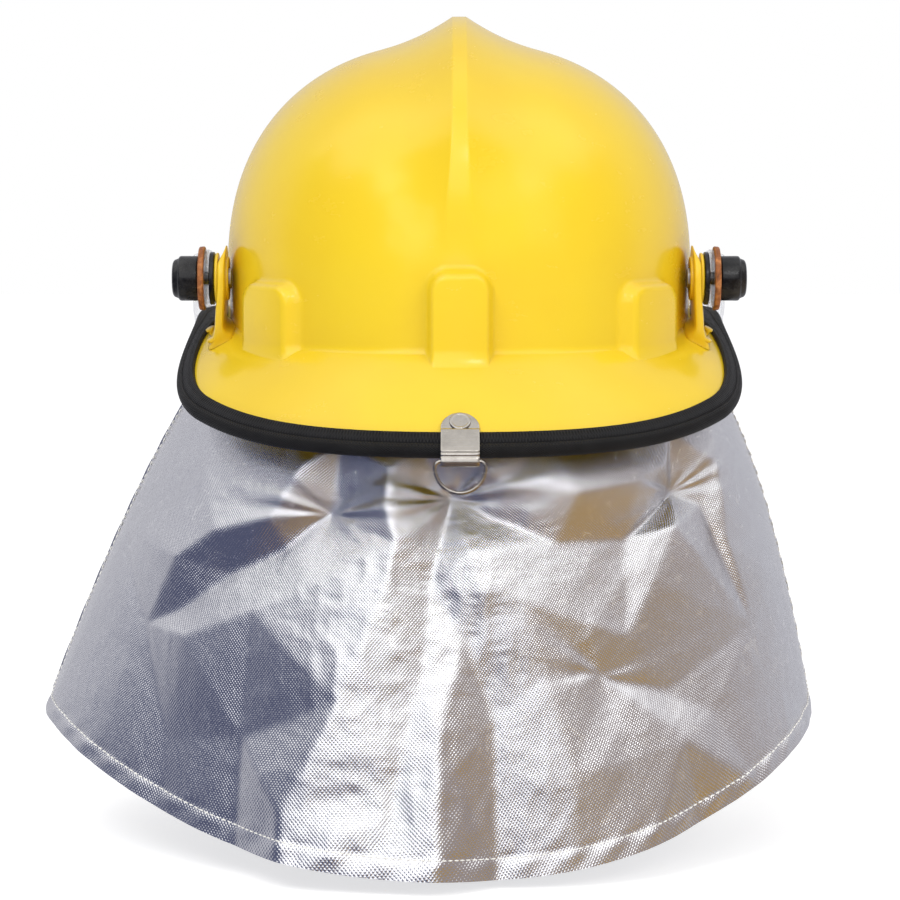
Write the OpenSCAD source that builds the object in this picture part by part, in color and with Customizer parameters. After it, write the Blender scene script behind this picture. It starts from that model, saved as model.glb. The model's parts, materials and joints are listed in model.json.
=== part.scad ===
// Fire helmet: ridged shell with a drooping rear brim, pivoting face shield, aluminised neck
// cape, hanging ring and adjustable suspension. Millimetres, +Z up, the wearer faces +Y.
// The origin is the centre of the head opening, level with the foot of the dome at the back.

/* [Shell] */
// Half of the dome's width
dome_half_w = 115; // [114:0.5:116]
// Half of the dome's length
dome_half_l = 133; // [132:0.5:134]
// Height at which the dome's wall starts to round over
dome_wall_h = 34; // [33:0.5:36]
// Height of the rounded crown above that
crown_h = 113.5; // [110:0.5:118]
// Squareness of the crown, 2 is round
crown_n = 2.3; // [2.2:0.05:2.5]
// Height of the ridge along the crown
ridge_h = 12; // [6:0.5:14]
// Wall thickness of the shell
shell_t = 2.6; // [2.2:0.1:2.8]

/* [Brim] */
// Width of the brim at the back
brim_rear_w = 41; // [39:0.5:43]
// Width of the brim at the sides
brim_side_w = 13.5; // [12.5:0.5:14]
// Width of the brim at the front
brim_front_w = 20; // [16:0.5:21]
// Height of the brim's edge at the back
brim_rear_z = -38; // [-40:0.5:-36]
// Height of the brim's edge at the sides
brim_side_z = 13; // [12:0.5:13.5]
// Height of the brim's edge at the front
brim_front_z = 3; // [0:0.5:5]
// Depth of the edge trim's channel
trim_depth = 8.5; // [7:0.5:8.5]

/* [Face shield] */
// Place of the pivot along the helmet
pivot_y = -45; // [-46:0.5:-44]
// Height of the pivot
pivot_z = 32; // [31:0.5:33]
// Thickness of the clear sheet
visor_t = 2; // [1.5:0.5:2]
// Height of the sheet's lower edge at the front
visor_low_z = -105; // [-115:1:-95]
// Height of the sheet's upper edge at the front
visor_top_z = 13; // [11:1:16]
// Radius of the clamp knobs
knob_r = 10.8; // [9.5:0.1:12]

/* [Cape] */
// Reach of the cape's lower left corner
cape_left_w = 201; // [170:1:203]
// Reach of the cape's lower right corner, which hangs closer in
cape_right_w = 171; // [165:1:203]
// Reach of the cape's hem behind the origin
cape_back = 196; // [190:1:203]
// Height of the hem at the back
cape_low_z = -229; // [-240:1:-210]
// Thickness of the aluminised cloth
cape_t = 1; // [0.8:0.1:1.2]

/* [Suspension] */
// Half of the headband's width
band_half_w = 80; // [79:0.5:81]
// Half of the headband's length
band_half_l = 97; // [96:0.5:97.5]
// Height of the headband
band_h = 32; // [28:1:34]
// Width of the crown straps
strap_w = 20; // [16:1:22]
// Height of the crossing of the crown straps
crossing_z = 106; // [100:1:110]
// Depth of the chin strap below its pins
chin_drop = 122; // [110:2:140]

/* [Hidden] */
$fn = 48;

// Layers of each pivot, as distances from the middle plane outwards.
head_x = 110.3;
flange_x = 111.4;
plate_x = 112.5;
disc_x = 116.5;
spacer_x = 118.3;
lug_x = 120.8;
washer_x = lug_x + visor_t + 0.15;
knob_x = washer_x + 3.15;
knob_l = 12.7;
face_gap = 0.15;
bolt_r = 3;
bore_r = 3.05;
washer_r = 15.5;
spacer_r = 12.8;
lug_r = 14;

// Bosses round the shell: [angle from the back, half width, height of the top].
bosses = [[0, 13.8, 38.5], [50, 19.5, 31.5], [130, 19.5, 31.5], [180, 13.8, 38.5], [230, 19.5, 31.5],
    [310, 19.5, 31.5]];
boss_corner = 9;
boss_out = 7;

ring_steps = 112;
skin_share = 0.8;
strap_t = 1.2;
band_t = 1.6;
band_low_z = -22;
pad_t = 4.5;
ring_wire_r = 0.9;
ring_r = 11.3;
roll_u = 45.6;
roll_z = -44.2;
ratchet_y = -106;
ratchet_z = -19;
strap_x = 104;
chin_y = 8;
chin_z = 4;
chin_w = 20;

// ---------- shared maths ----------
function smooth(t) = let(c = min(max(t, 0), 1)) c * c * (3 - 2 * c);
function unit(v) = v / norm(v);
function fold(a) = let(b = ((a % 360) + 360) % 360) b > 180 ? 360 - b : b;
function joined(lists) = [for (l = lists) for (p = l) p];
// A point of an oval at angle a from the back, and its outward normal.
function oval(a, w, l) = [w * sin(a), -l * cos(a)];
function oval_normal(a, w, l) = unit([sin(a) / w, -cos(a) / l]);
// A point that stands off the foot of the dome by a distance, at a height.
function stand_off(a, off, z) =
    let(p = oval(a, dome_half_w, dome_half_l) + off * oval_normal(a, dome_half_w, dome_half_l))
    [p.x, p.y, z];
// One ring of points, closer together at the ridge in front and behind.
function ring_of(n, f) = [for (i = [0 : n - 1]) let(t = 360 * i / n) f(t - 17 * sin(2 * t))];

// ---------- solids from rings of points ----------
function quads(j, n, k) = [for (i = [0 : n - 1]) each
    [[j * n + i, j * n + (i + 1) % n, k * n + i],
     [j * n + (i + 1) % n, k * n + (i + 1) % n, k * n + i]]];
function flipped(faces) = [for (f = faces) [f[2], f[1], f[0]]];

// Closed rings between a first and a last point, like the skin of a bowl.
module bowl_skin(first, rings, last) {
    n = len(rings[0]);
    end = len(rings) - 1;
    points = concat(joined(rings), [first, last]);
    sides = [for (j = [0 : end - 1]) each quads(j, n, j + 1)];
    lid = [for (i = [0 : n - 1]) [len(points) - 2, (i + 1) % n, i]];
    base = [for (i = [0 : n - 1]) [len(points) - 1, end * n + i, end * n + (i + 1) % n]];
    polyhedron(points, concat(sides, lid, base));
}

// A closed section carried round a closed path.
module loop_skin(rings) {
    n = len(rings[0]);
    m = len(rings);
    polyhedron(joined(rings), [for (j = [0 : m - 1]) each quads(j, n, (j + 1) % m)]);
}

// A sheet between two equal grids of points.
module sheet_skin(outer, inner) {
    m = len(outer);
    n = len(outer[0]);
    rings = [for (j = [0 : m - 1]) concat(outer[j], [for (i = [n - 1 : -1 : 0]) inner[j][i]])];
    cap = [for (i = [0 : n - 2]) each
        [[i, 2 * n - 1 - i, i + 1], [i + 1, 2 * n - 1 - i, 2 * n - 2 - i]]];
    far_cap = [for (f = flipped(cap)) f + (m - 1) * 2 * n * [1, 1, 1]];
    sides = [for (j = [0 : m - 2]) each quads(j, 2 * n, j + 1)];
    polyhedron(joined(rings), concat(cap, far_cap, sides));
}

// ---------- shell ----------
function brim_w(a) = let(f = fold(a))
    brim_rear_w + (brim_side_w - brim_rear_w) * pow(smooth((f - 50) / 40), 0.8)
    + (brim_front_w - brim_side_w) * smooth((f - 95) / 70);
function brim_z(a) = let(f = fold(a))
    brim_rear_z + (brim_side_z - brim_rear_z) * pow(smooth((f + 17) / 117), 3)
    + (brim_front_z - brim_side_z) * smooth((f - 105) / 70);
function foot_z(a) = 1 + 8 * smooth((fold(a) - 45) / 35);
brim_bend = 1.12;
function brim_slope(a) = brim_bend * (brim_z(a) - foot_z(a)) / brim_w(a);
// Vertical thickness of the sloping brim.
function brim_drop(a) = shell_t * norm([1, brim_slope(a)]);

// Height of the ridge over a point of the plain dome.
function ridge(p) =
    let(along = smooth((p.z - 44) / 62),
        crest = 3 + 4 * (1 - along),
        flank = 16 + 22 * along,
        across = min(max((abs(p.x) - crest) / flank, 0), 1))
    ridge_h * along * pow(1 - across, 2.2);
// How far one boss stands out at a point near the dome's foot.
function boss(p, b) =
    let(c = oval(b[0], dome_half_w, dome_half_l),
        out = oval_normal(b[0], dome_half_w, dome_half_l),
        to = [p.x - c.x, p.y - c.y],
        side = to.x * out.y - to.y * out.x,
        past = max(abs(side) - b[1] + boss_corner, 0),
        above = max(p.z - b[2] + boss_corner, 0))
    to * out < -60 ? 0 : boss_out * smooth((boss_corner + 2 - norm([past, above])) / 4.5);
function bosses_out(p) = max([for (b = bosses) boss(p, b)]);
function bump(p) = ridge(p) + bosses_out(p);
// A point of the crown at share r of its plan radius, set in by a distance.
function crown_point(a, r, inset, share) =
    let(q = oval(a, r * dome_half_w, r * dome_half_l),
        z = dome_wall_h + crown_h * pow(1 - pow(r, crown_n), 1 / crown_n),
        out = unit([q.x, q.y, 1.1 * (z - dome_wall_h) + 0.001]))
    [q.x, q.y, z] + out * (share * bump([q.x, q.y, z]) - inset);
function wall_point(a, z, inset, share) = stand_off(a, share * bump(stand_off(a, 0, z)) - inset, z);
// A point of the brim at share q of its width; it starts in front of any boss.
function brim_point(a, q, drop) =
    let(start = bosses_out(stand_off(a, 0, foot_z(a))),
        off = start + (brim_w(a) - start) * q)
    stand_off(a, off, foot_z(a) + (brim_z(a) - foot_z(a)) * pow(off / brim_w(a), brim_bend) - drop);

module shell() {
    crown_r = [0.04, 0.1, 0.2, 0.34, 0.48, 0.62, 0.74, 0.84, 0.91, 0.96, 0.99, 0.998, 0.9996];
    wall_z = [dome_wall_h, 24, 15];
    brim_q = [0.05, 0.3, 0.65, 1];
    outer = concat(
        [for (r = crown_r) ring_of(ring_steps, function(a) crown_point(a, r, 0, 1))],
        [for (z = wall_z) ring_of(ring_steps, function(a) wall_point(a, z, 0, 1))],
        [ring_of(ring_steps, function(a) wall_point(a, foot_z(a) + 1.5, 0, 1))],
        [for (q = brim_q) ring_of(ring_steps, function(a) brim_point(a, q, 0))]);
    under = [for (k = [3, 2, 1]) ring_of(ring_steps, function(a) brim_point(a, brim_q[k], brim_drop(a)))];
    inner = concat(
        [for (r = crown_r) ring_of(ring_steps, function(a) crown_point(a, r, shell_t, skin_share))],
        [for (z = wall_z) ring_of(ring_steps, function(a) wall_point(a, z, shell_t, skin_share))],
        [ring_of(ring_steps, function(a) stand_off(a, -shell_t, foot_z(a) - 1.2))]);
    top = dome_wall_h + crown_h + ridge_h;
    color("gold")
    bowl_skin([0, 0, top],
        concat(outer, under, [for (k = [len(inner) - 1 : -1 : 0]) inner[k]]),
        [0, 0, top - shell_t - ridge_h * (1 - skin_share)]);
}

// ---------- edge trim ----------
module edge_trim() {
    slot = shell_t / 2 + 0.5;
    function brim_mid(a, off) = foot_z(a) - brim_drop(a) / 2
        + (brim_z(a) - foot_z(a)) * pow(off / brim_w(a), brim_bend);
    // Slope of the brim over the length of the slot.
    function grip_slope(a) = (brim_mid(a, brim_w(a)) - brim_mid(a, brim_w(a) - trim_depth)) / trim_depth;
    // Where the slot ends above (side 1) and below (side -1) the brim's upright edge.
    function slot_end(tip, side) = (0.3 + side * slot * sin(tip)) / cos(tip);
    function section(tip) = [[-trim_depth, slot], [slot_end(tip, 1), slot], [slot_end(tip, -1), -slot],
        [-trim_depth, -slot], [-trim_depth, -3.3], [0.5, -3.5], [2.4, -2.5], [3.2, 0], [2.4, 2.5], [0.5, 3.5],
        [-trim_depth, 3.3]];
    color("#222222")
    loop_skin(ring_of(ring_steps, function(a) let(tip = atan(grip_slope(a)))
        [for (s = section(tip)) stand_off(a, brim_w(a) + s.x * cos(tip) - s.y * sin(tip),
            brim_z(a) - brim_drop(a) / 2 + s.x * sin(tip) + s.y * cos(tip))]));
}

// ---------- liner and suspension ----------
module impact_liner() {
    liner_t = 12;
    gap = 1.2;
    foot = 24;
    steps = 48;
    crown_r = [0.12, 0.3, 0.48, 0.64, 0.78, 0.88, 0.95, 0.99];
    function skin(inset) = concat(
        [for (r = crown_r) ring_of(steps, function(a) crown_point(a, r, inset, 0))],
        [for (z = [dome_wall_h, foot]) ring_of(steps, function(a) stand_off(a, -inset, z))]);
    outer = skin(shell_t + gap);
    inner = skin(shell_t + gap + liner_t);
    top = dome_wall_h + crown_h - shell_t - gap;
    color("#3b3f45")
    bowl_skin([0, 0, top], concat(outer, [for (k = [len(inner) - 1 : -1 : 0]) inner[k]]),
        [0, 0, top - liner_t]);
}

// A curved strip that follows the headband at a distance, between two angles.
module band_strip(from, to, inside, outside, low, high) {
    step = (to - from) / 36;
    function edge(off) = [for (i = [0 : 36]) oval(from + i * step, band_half_w + off, band_half_l + off)];
    outer = edge(outside);
    translate([0, 0, low])
    linear_extrude(high - low)
    polygon(concat(outer, [for (i = [36 : -1 : 0]) edge(inside)[i]]));
}

module headband() {
    turn = [for (i = [0 : 71]) 5 * i];
    color("#26282b")
    translate([0, 0, band_low_z])
    linear_extrude(band_h)
    difference() {
        polygon([for (a = turn) oval(a, band_half_w + band_t, band_half_l + band_t)]);
        polygon([for (a = turn) oval(a, band_half_w, band_half_l)]);
    }
}
module brow_pad() {
    color("#4a3a2c") band_strip(118, 242, -pad_t, -0.2, band_low_z + 2, band_low_z + band_h - 2);
}
module nape_pad() {
    color("#4a3a2c") band_strip(-38, 38, -pad_t, -0.2, band_low_z + 2, band_low_z + band_h - 2);
}

// Distance from the centre to the dome's wall, and to the headband, towards angle a.
function heading(a) = let(p = oval(a, dome_half_w, dome_half_l)) atan2(p.y, p.x);
function wall_reach(a) = norm(oval(a, dome_half_w, dome_half_l));
function band_reach(a) = 1 / norm([cos(heading(a)) / band_half_w, sin(heading(a)) / band_half_l]);
clip_in = 22.2;
module upright_at(a, width) {
    rotate([0, 0, heading(a)])
    rotate([90, 0, 0])
    translate([0, 0, -width / 2])
    linear_extrude(width)
    children();
}

// A strap that arches over the head between two opposite clips.
module crown_strap(a, layer) {
    span = wall_reach(a) - clip_in - 0.2;
    top = crossing_z + layer * (strap_t + 0.9);
    shoulder = 26;
    foot = 8.2;
    function arch(s, h) = [for (i = [0 : 32]) let(t = 180 * i / 32)
        [s * sign(cos(t)) * pow(abs(cos(t)), 2 / crown_n),
         shoulder + (h - shoulder) * pow(sin(t), 2 / crown_n)]];
    outer = arch(span, top);
    inner = arch(span - strap_t, top - strap_t);
    color("#2b2f38")
    upright_at(a, strap_w)
    polygon(concat([[span, foot]], outer, [[-span, foot], [strap_t - span, foot]],
        [for (i = [32 : -1 : 0]) inner[i]], [[span - strap_t, foot]]));
}
module crown_strap_fore_aft() { crown_strap(0, 0); }
module crown_strap_left_diagonal() { crown_strap(310, 1); }
module crown_strap_right_diagonal() { crown_strap(50, 2); }

module crown_pad() {
    pad_r = 30;
    pad_h = 4;
    pad_top = crossing_z - strap_t - 3.2;
    color("#4a3a2c")
    translate([0, 0, pad_top - pad_h])
    cylinder(h = pad_h, r = pad_r);
}

// A clip has a hook in the boss pocket, an upright for the crown strap and a tab on the headband.
// The rear clip's tab is shorter, above the ratchet.
module suspension_clip(a) {
    wall = wall_reach(a) - 3.2;
    post = wall_reach(a) - clip_in;
    band = band_reach(a) + band_t;
    tab_low = a == 0 ? -8 : -14;
    upright_at(a, 17)
    polygon([[post, 5], [post, 30], [post + 2.2, 30], [post + 2.2, 19.5], [wall - 2.5, 19.5],
        [wall - 2.5, 23], [wall, 23], [wall, 17], [post + 2.2, 17], [post + 2.2, 5],
        [band + 1.6, 2.5], [band + 1.6, tab_low], [band - 0.6, tab_low], [band - 0.6, 5]]);
}
module suspension_clips() {
    color("#1f1f22")
    for (b = bosses) suspension_clip(b[0]);
}

module ratchet_housing() {
    low = ratchet_z - 10;
    high = ratchet_z + 10;
    color("#26282b")
    difference() {
        translate([0, 0, low])
        linear_extrude(high - low)
        polygon(concat([for (a = [-21 : 3 : 21]) oval(a, band_half_w + band_t + 0.2, band_half_l + band_t + 0.2)],
            [[33, ratchet_y + 4], [29, ratchet_y], [-29, ratchet_y], [-33, ratchet_y + 4]]));
        translate([0, ratchet_y, ratchet_z])
        rotate([-90, 0, 0])
        translate([0, 0, -1])
        cylinder(h = 6.5, r = bore_r);
    }
}

module ratchet_knob() {
    wheel_r = 15;
    wheel_h = 9;
    flutes = 12;
    color("#1c1c1e")
    translate([0, ratchet_y - face_gap, ratchet_z])
    rotate([90, 0, 0])
    union() {
        difference() {
            cylinder(h = wheel_h, r = wheel_r);
            for (i = [0 : flutes - 1])
                rotate([0, 0, 360 * i / flutes])
                translate([wheel_r + 1.2, 0, -1])
                cylinder(h = wheel_h + 2, r = 2.6, $fn = 24);
        }
        translate([0, 0, -5])
        cylinder(h = 5.5, r = bolt_r);
    }
}

// ---------- neck cape ----------
cape_reach = 83;
cape_inset = shell_t + 2.2;
cape_steps = 40;
cape_rows = [0.03, 0.08, 0.15, 0.24, 0.34, 0.46, 0.58, 0.7, 0.82, 0.92, 1];
// The hem, at angle a of the top edge: wider, lower and further back.
function hem(a) = let(b = a * 90 / cape_reach)
    [(b > 0 ? cape_right_w : cape_left_w) * sin(b), -44 - (cape_back - 44) * cos(b),
     cape_low_z + 54 * pow(abs(sin(b)), 2.3)];
// The cape hangs straight off the tape, then swings out to the hem.
function cape_base(a, v) =
    let(from = stand_off(a, -cape_inset, foot_z(a) - 1.5),
        by = stand_off(a, 29 + 9 * smooth(abs(a) / cape_reach), -44))
    (1 - v) * (1 - v) * from + 2 * v * (1 - v) * by + v * v * hem(a);
function cape_point(a, v, inset) =
    let(p = cape_base(a, v),
        along = cape_base(a + 1, v) - cape_base(a - 1, v),
        down = cape_base(a, min(v + 0.02, 1)) - cape_base(a, max(v - 0.02, 0)))
    p - inset * unit(cross(down, along));
function cape_grid(inset) = [for (j = [0 : cape_steps])
    let(a = cape_reach * (2 * j / cape_steps - 1))
    concat([stand_off(a, -cape_inset - inset, foot_z(a) + 10.5),
            stand_off(a, -cape_inset - inset, foot_z(a) + 0.5)],
        [for (v = cape_rows) cape_point(a, v, inset)])];
module cape() {
    color("silver") sheet_skin(cape_grid(0), cape_grid(cape_t));
}
module cape_lining() {
    color("#1d2440") sheet_skin(cape_grid(cape_t + 0.5), cape_grid(cape_t + 1.1));
}

// Tape along the inside of the shell's foot.
module tape(from, to) {
    function edge(off) = [for (j = [0 : 30]) let(a = cape_reach * (j / 15 - 1))
        [stand_off(a, -off, foot_z(a) + 10), stand_off(a, -off, foot_z(a) + 0.5)]];
    sheet_skin(edge(from), edge(to));
}
module cape_hook_tape() { color("#151515") tape(shell_t + 0.1, shell_t + 1); }
module cape_loop_tape() { color("#20242c") tape(shell_t + 1.1, shell_t + 2); }

// ---------- hanger ----------
// Places here are [distance behind the dome's foot, height].
module behind_foot() {
    translate([0, -dome_half_l, 0])
    rotate([90, 0, -90])
    children();
}
plate_half = 8.6;
module hanger_plate() {
    face = [[28.9, -23.6], [35.7, -30.4], [37.7, -29.9], [44.9, -37], [46.6, -39.2], [47.7, -43.4]];
    back = [[46.4, -42.6], [45.7, -39.6], [44.2, -37.6], [37.1, -30.65], [35.3, -31.4], [28.2, -24.3]];
    color("#b8babd")
    difference() {
        behind_foot()
        translate([0, 0, -plate_half])
        union() {
            linear_extrude(2 * plate_half) polygon(concat(face, back));
            translate([roll_u, roll_z, 0]) cylinder(h = 2 * plate_half, r = 2.4);
        }
        behind_foot()
        translate([roll_u, roll_z, -plate_half - 1])
        cylinder(h = 2 * plate_half + 2, r = ring_wire_r + 0.06);
        rivet_axis() cylinder(h = 8, r = 2.05, center = true);
    }
}
// The rivet stands square to the sloping plate, a third of the way down it.
module rivet_axis() {
    translate([0, -dome_half_l - 31.6, -26.3])
    rotate([45, 0, 0])
    children();
}
module hanger_rivet() {
    color("#c9cbce")
    rivet_axis()
    union() {
        translate([0, 0, 0.05])
        rotate_extrude()
        polygon([[0, 0], [4.8, 0], [4.6, 0.7], [3.6, 1.2], [0, 1.4]]);
        translate([0, 0, -4.6])
        cylinder(h = 4.8, r = 2);
        translate([0, 0, -5])
        cylinder(h = 0.9, r = 4);
    }
}
module hanger_ring() {
    color("#cfd1d4")
    translate([0, -dome_half_l - roll_u, roll_z])
    union() {
        rotate([0, 90, 0])
        cylinder(h = 2 * ring_r, r = ring_wire_r, center = true);
        rotate([90, 180, 0])
        rotate_extrude(angle = 180)
        translate([ring_r, 0])
        circle(r = ring_wire_r, $fn = 24);
        for (side = [-1, 1]) translate([side * ring_r, 0, 0]) sphere(r = ring_wire_r, $fn = 24);
    }
}

// ---------- face shield and its pivots ----------
// A cylinder along the pivot's axis on one side, between two distances from the middle.
module pivot_disc(side, from, to, r, facets = 48) {
    translate([side * from, pivot_y, pivot_z])
    rotate([0, side * 90, 0])
    cylinder(h = to - from, r = r, $fn = facets);
}

// The sheet's plan on the right half, from the lug round to the middle of the front.
ease_from = -30;
ease_to = 17;
front_y = 170;
wide_x = 134.3;
function plan_half(inset) = concat(
    [[lug_x + visor_t - inset, -64]],
    [for (i = [0 : 8]) let(t = i / 8)
        [lug_x + visor_t - inset + (wide_x - lug_x - visor_t) * smooth(t), ease_from + (ease_to - ease_from) * t]],
    [for (i = [1 : 24]) let(t = 90 * i / 24)
        [(wide_x - inset) * pow(cos(t), 2 / 2.3), ease_to + (front_y - ease_to - inset) * pow(sin(t), 2 / 2.3)]]);
function mirrored(points) = [for (i = [len(points) - 2 : -1 : 0]) [-points[i].x, points[i].y]];
module visor() {
    outer = concat(plan_half(0), mirrored(plan_half(0)));
    inner = concat(plan_half(visor_t), mirrored(plan_half(visor_t)));
    upper = [[0, 43], [60, 33], [115, 20], [150, visor_top_z], [180, visor_top_z]];
    lower = [[180, visor_low_z], [150, visor_low_z + 1], [115, -96], [82, -74], [52, -35], [35, -2], [22, 14],
        [8, 18.5], [-20, 19]];
    lug_end = [for (t = [270 : -10 : 90]) [pivot_y, pivot_z] + lug_r * [cos(t), sin(t)]];
    color("#dfe6ea", 0.35)
    difference() {
        intersection() {
            translate([0, 0, -130])
            linear_extrude(200)
            polygon(concat(outer, [for (i = [len(inner) - 1 : -1 : 0]) inner[i]]));
            translate([-140, 0, 0])
            rotate([90, 0, 90])
            linear_extrude(280)
            polygon(concat(upper, lower, lug_end));
        }
        for (side = [-1, 1]) pivot_disc(side, lug_x - 2, lug_x + visor_t + 2, bore_r);
    }
}

// The foot of a bracket lies on the sloping brim: its frame has z square to the brim.
module on_brim(side) {
    translate([side * 116.2, pivot_y, 4])
    rotate([14, side * 27, 0])
    children();
}
// The bracket's plate round the pivot and its arm down to the foot.
module visor_bracket(side) {
    foot_t = 2.6;
    color("#f2cf2e")
    difference() {
        union() {
            translate([side > 0 ? plate_x : -disc_x, 0, 0])
            rotate([90, 0, 90])
            linear_extrude(disc_x - plate_x)
            union() {
                translate([pivot_y, pivot_z]) circle(r = 16);
                polygon([[pivot_y - 15, pivot_z], [pivot_y - 15, 2.1], [pivot_y + 12, 9.7],
                    [pivot_y + 15, pivot_z]]);
            }
            on_brim(side)
            translate([side > 0 ? -4.2 : -6, -16, 0])
            cube([10.2, 29, foot_t]);
            pivot_disc(side, disc_x, spacer_x - 0.05, 12.4);
            pivot_disc(side, flange_x, plate_x, 10.6);
        }
        pivot_disc(side, flange_x - 1, plate_x, 5.6);
        pivot_disc(side, plate_x - 1, spacer_x + 1, bore_r);
        on_brim(side)
        for (y = screw_y) translate([side * screw_out, y, -1]) cylinder(h = foot_t + 2, r = 1.55);
    }
}
screw_out = 3.2;
screw_y = [-11, 8];
module visor_bracket_left() { visor_bracket(-1); }
module visor_bracket_right() { visor_bracket(1); }
module bracket_screws() {
    color("#8f9296")
    for (side = [-1, 1]) on_brim(side)
        for (y = screw_y) translate([side * screw_out, y, 0])
        union() {
            translate([0, 0, -4.6]) cylinder(h = 7.4, r = 1.5);
            translate([0, 0, 2.65]) cylinder(h = 1.3, r = 2.3);
        }
}

module pivot_bolt(side) {
    color("#8f9296")
    union() {
        pivot_disc(side, head_x, plate_x - 0.05, 5, 6);
        pivot_disc(side, plate_x - 0.1, knob_x + 9, bolt_r);
    }
}
module pivot_bolt_left() { pivot_bolt(-1); }
module pivot_bolt_right() { pivot_bolt(1); }

module bored_disc(side, from, to, r) {
    difference() {
        pivot_disc(side, from, to, r);
        pivot_disc(side, from - 1, to + 1, bore_r);
    }
}
module spacer_left() { color("#1b1b1b") bored_disc(-1, spacer_x, lug_x - face_gap, spacer_r); }
module spacer_right() { color("#1b1b1b") bored_disc(1, spacer_x, lug_x - face_gap, spacer_r); }
module friction_washer_left() { color("#7a4a34") bored_disc(-1, washer_x, knob_x - face_gap, washer_r); }
module friction_washer_right() { color("#7a4a34") bored_disc(1, washer_x, knob_x - face_gap, washer_r); }

module knob(side) {
    neck = knob_r - 1.4;
    profile = [[bore_r, 0], [knob_r - 0.5, 0], [knob_r, 0.5], [knob_r, knob_l - 3.4], [knob_r - 0.6, knob_l - 2.8],
        [neck, knob_l - 2.6], [neck - 0.4, knob_l - 1], [neck - 1.6, knob_l], [0, knob_l], [0, 9.4], [bore_r, 9.4]];
    color("#17181a")
    translate([side * knob_x, pivot_y, pivot_z])
    rotate([0, side * 90, 0])
    rotate_extrude()
    polygon(profile);
}
module knob_left() { knob(-1); }
module knob_right() { knob(1); }

// ---------- chin strap ----------
module chin_anchors() {
    color("#9a9da1")
    for (side = [-1, 1])
        translate([side * 110.6, chin_y, chin_z])
        rotate([0, -side * 90, 0])
        union() {
            translate([-6, -10, 0]) cube([24, 20, 2.2]);
            cylinder(h = 9, r = 2.5);
            translate([0, 0, 8]) cylinder(h = 1.2, r = 4);
        }
}
// The loop's line from the right pin (share 0) round the bottom to the left pin (share 1).
chin_round_z = chin_z - 55;
function chin_line(t, off) = let(a = 180 * t)
    [(strap_x + off) * sign(cos(a)) * pow(abs(cos(a)), 0.85),
     chin_round_z - (chin_drop - 55 + off) * pow(sin(a), 0.85)];
module chin_band(points) {
    translate([0, chin_y + chin_w / 2, 0])
    rotate([90, 0, 0])
    linear_extrude(chin_w)
    polygon(points);
}
module pin_bore(side) {
    translate([side * strap_x, chin_y, chin_z])
    rotate([0, 90, 0])
    cylinder(h = 8, r = 2.55, center = true);
}
half_t = 0.8;
module chin_strap_long() {
    bend = [for (i = [0 : 36]) i / 36];
    color("#1a1c20")
    difference() {
        chin_band(concat([[strap_x + half_t, -44]], [for (t = bend) chin_line(t, half_t)],
            [[-strap_x - half_t, chin_z + 9], [half_t - strap_x, chin_z + 9]],
            [for (i = [36 : -1 : 0]) chin_line(bend[i], -half_t)], [[strap_x - half_t, -44]]));
        pin_bore(-1);
    }
}
module chin_strap_short() {
    color("#1a1c20")
    difference() {
        chin_band([[strap_x - half_t, chin_z + 9], [strap_x - half_t, -12], [strap_x + half_t, -12],
            [strap_x + half_t, chin_z + 9]]);
        pin_bore(1);
    }
}
module strap_block(x, low, high, t, w) {
    translate([x - t / 2, chin_y - w / 2, low])
    cube([t, w, high - low]);
}
module buckle_socket() {
    color("#111214")
    difference() {
        strap_block(strap_x, -34, -12.1, 7, 26);
        strap_block(strap_x, -35, -20, 3.4, 18.4);
    }
}
module buckle_tongue() {
    color("#111214")
    union() {
        strap_block(strap_x, -43.9, -34.2, 6, 25);
        strap_block(strap_x, -34.2, -21, 3, 18);
    }
}
module strap_slider() {
    color("#111214")
    difference() {
        strap_block(-strap_x, -34, -24, 5, 26);
        strap_block(-strap_x, -35, -23, 1.8, 20.4);
    }
}
module chin_pad() {
    function edge(off) = [for (i = [0 : 12]) chin_line(0.37 + 0.26 * i / 12, off)];
    upper = edge(-4.8);
    color("#33363c")
    translate([0, chin_y + 15, 0])
    rotate([90, 0, 0])
    linear_extrude(30)
    polygon(concat(edge(-0.9), [for (i = [12 : -1 : 0]) upper[i]]));
}

shell();
edge_trim();
impact_liner();
headband();
brow_pad();
nape_pad();
crown_strap_fore_aft();
crown_strap_left_diagonal();
crown_strap_right_diagonal();
crown_pad();
suspension_clips();
ratchet_housing();
ratchet_knob();
cape();
cape_lining();
cape_hook_tape();
cape_loop_tape();
hanger_plate();
hanger_rivet();
hanger_ring();
visor();
visor_bracket_left();
visor_bracket_right();
bracket_screws();
pivot_bolt_left();
pivot_bolt_right();
spacer_left();
spacer_right();
friction_washer_left();
friction_washer_right();
knob_left();
knob_right();
chin_anchors();
chin_strap_long();
chin_strap_short();
buckle_socket();
buckle_tongue();
strap_slider();
chin_pad();
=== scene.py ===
import json
import math
import bmesh
import bpy
import numpy as np
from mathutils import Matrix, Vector, geometry


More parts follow.
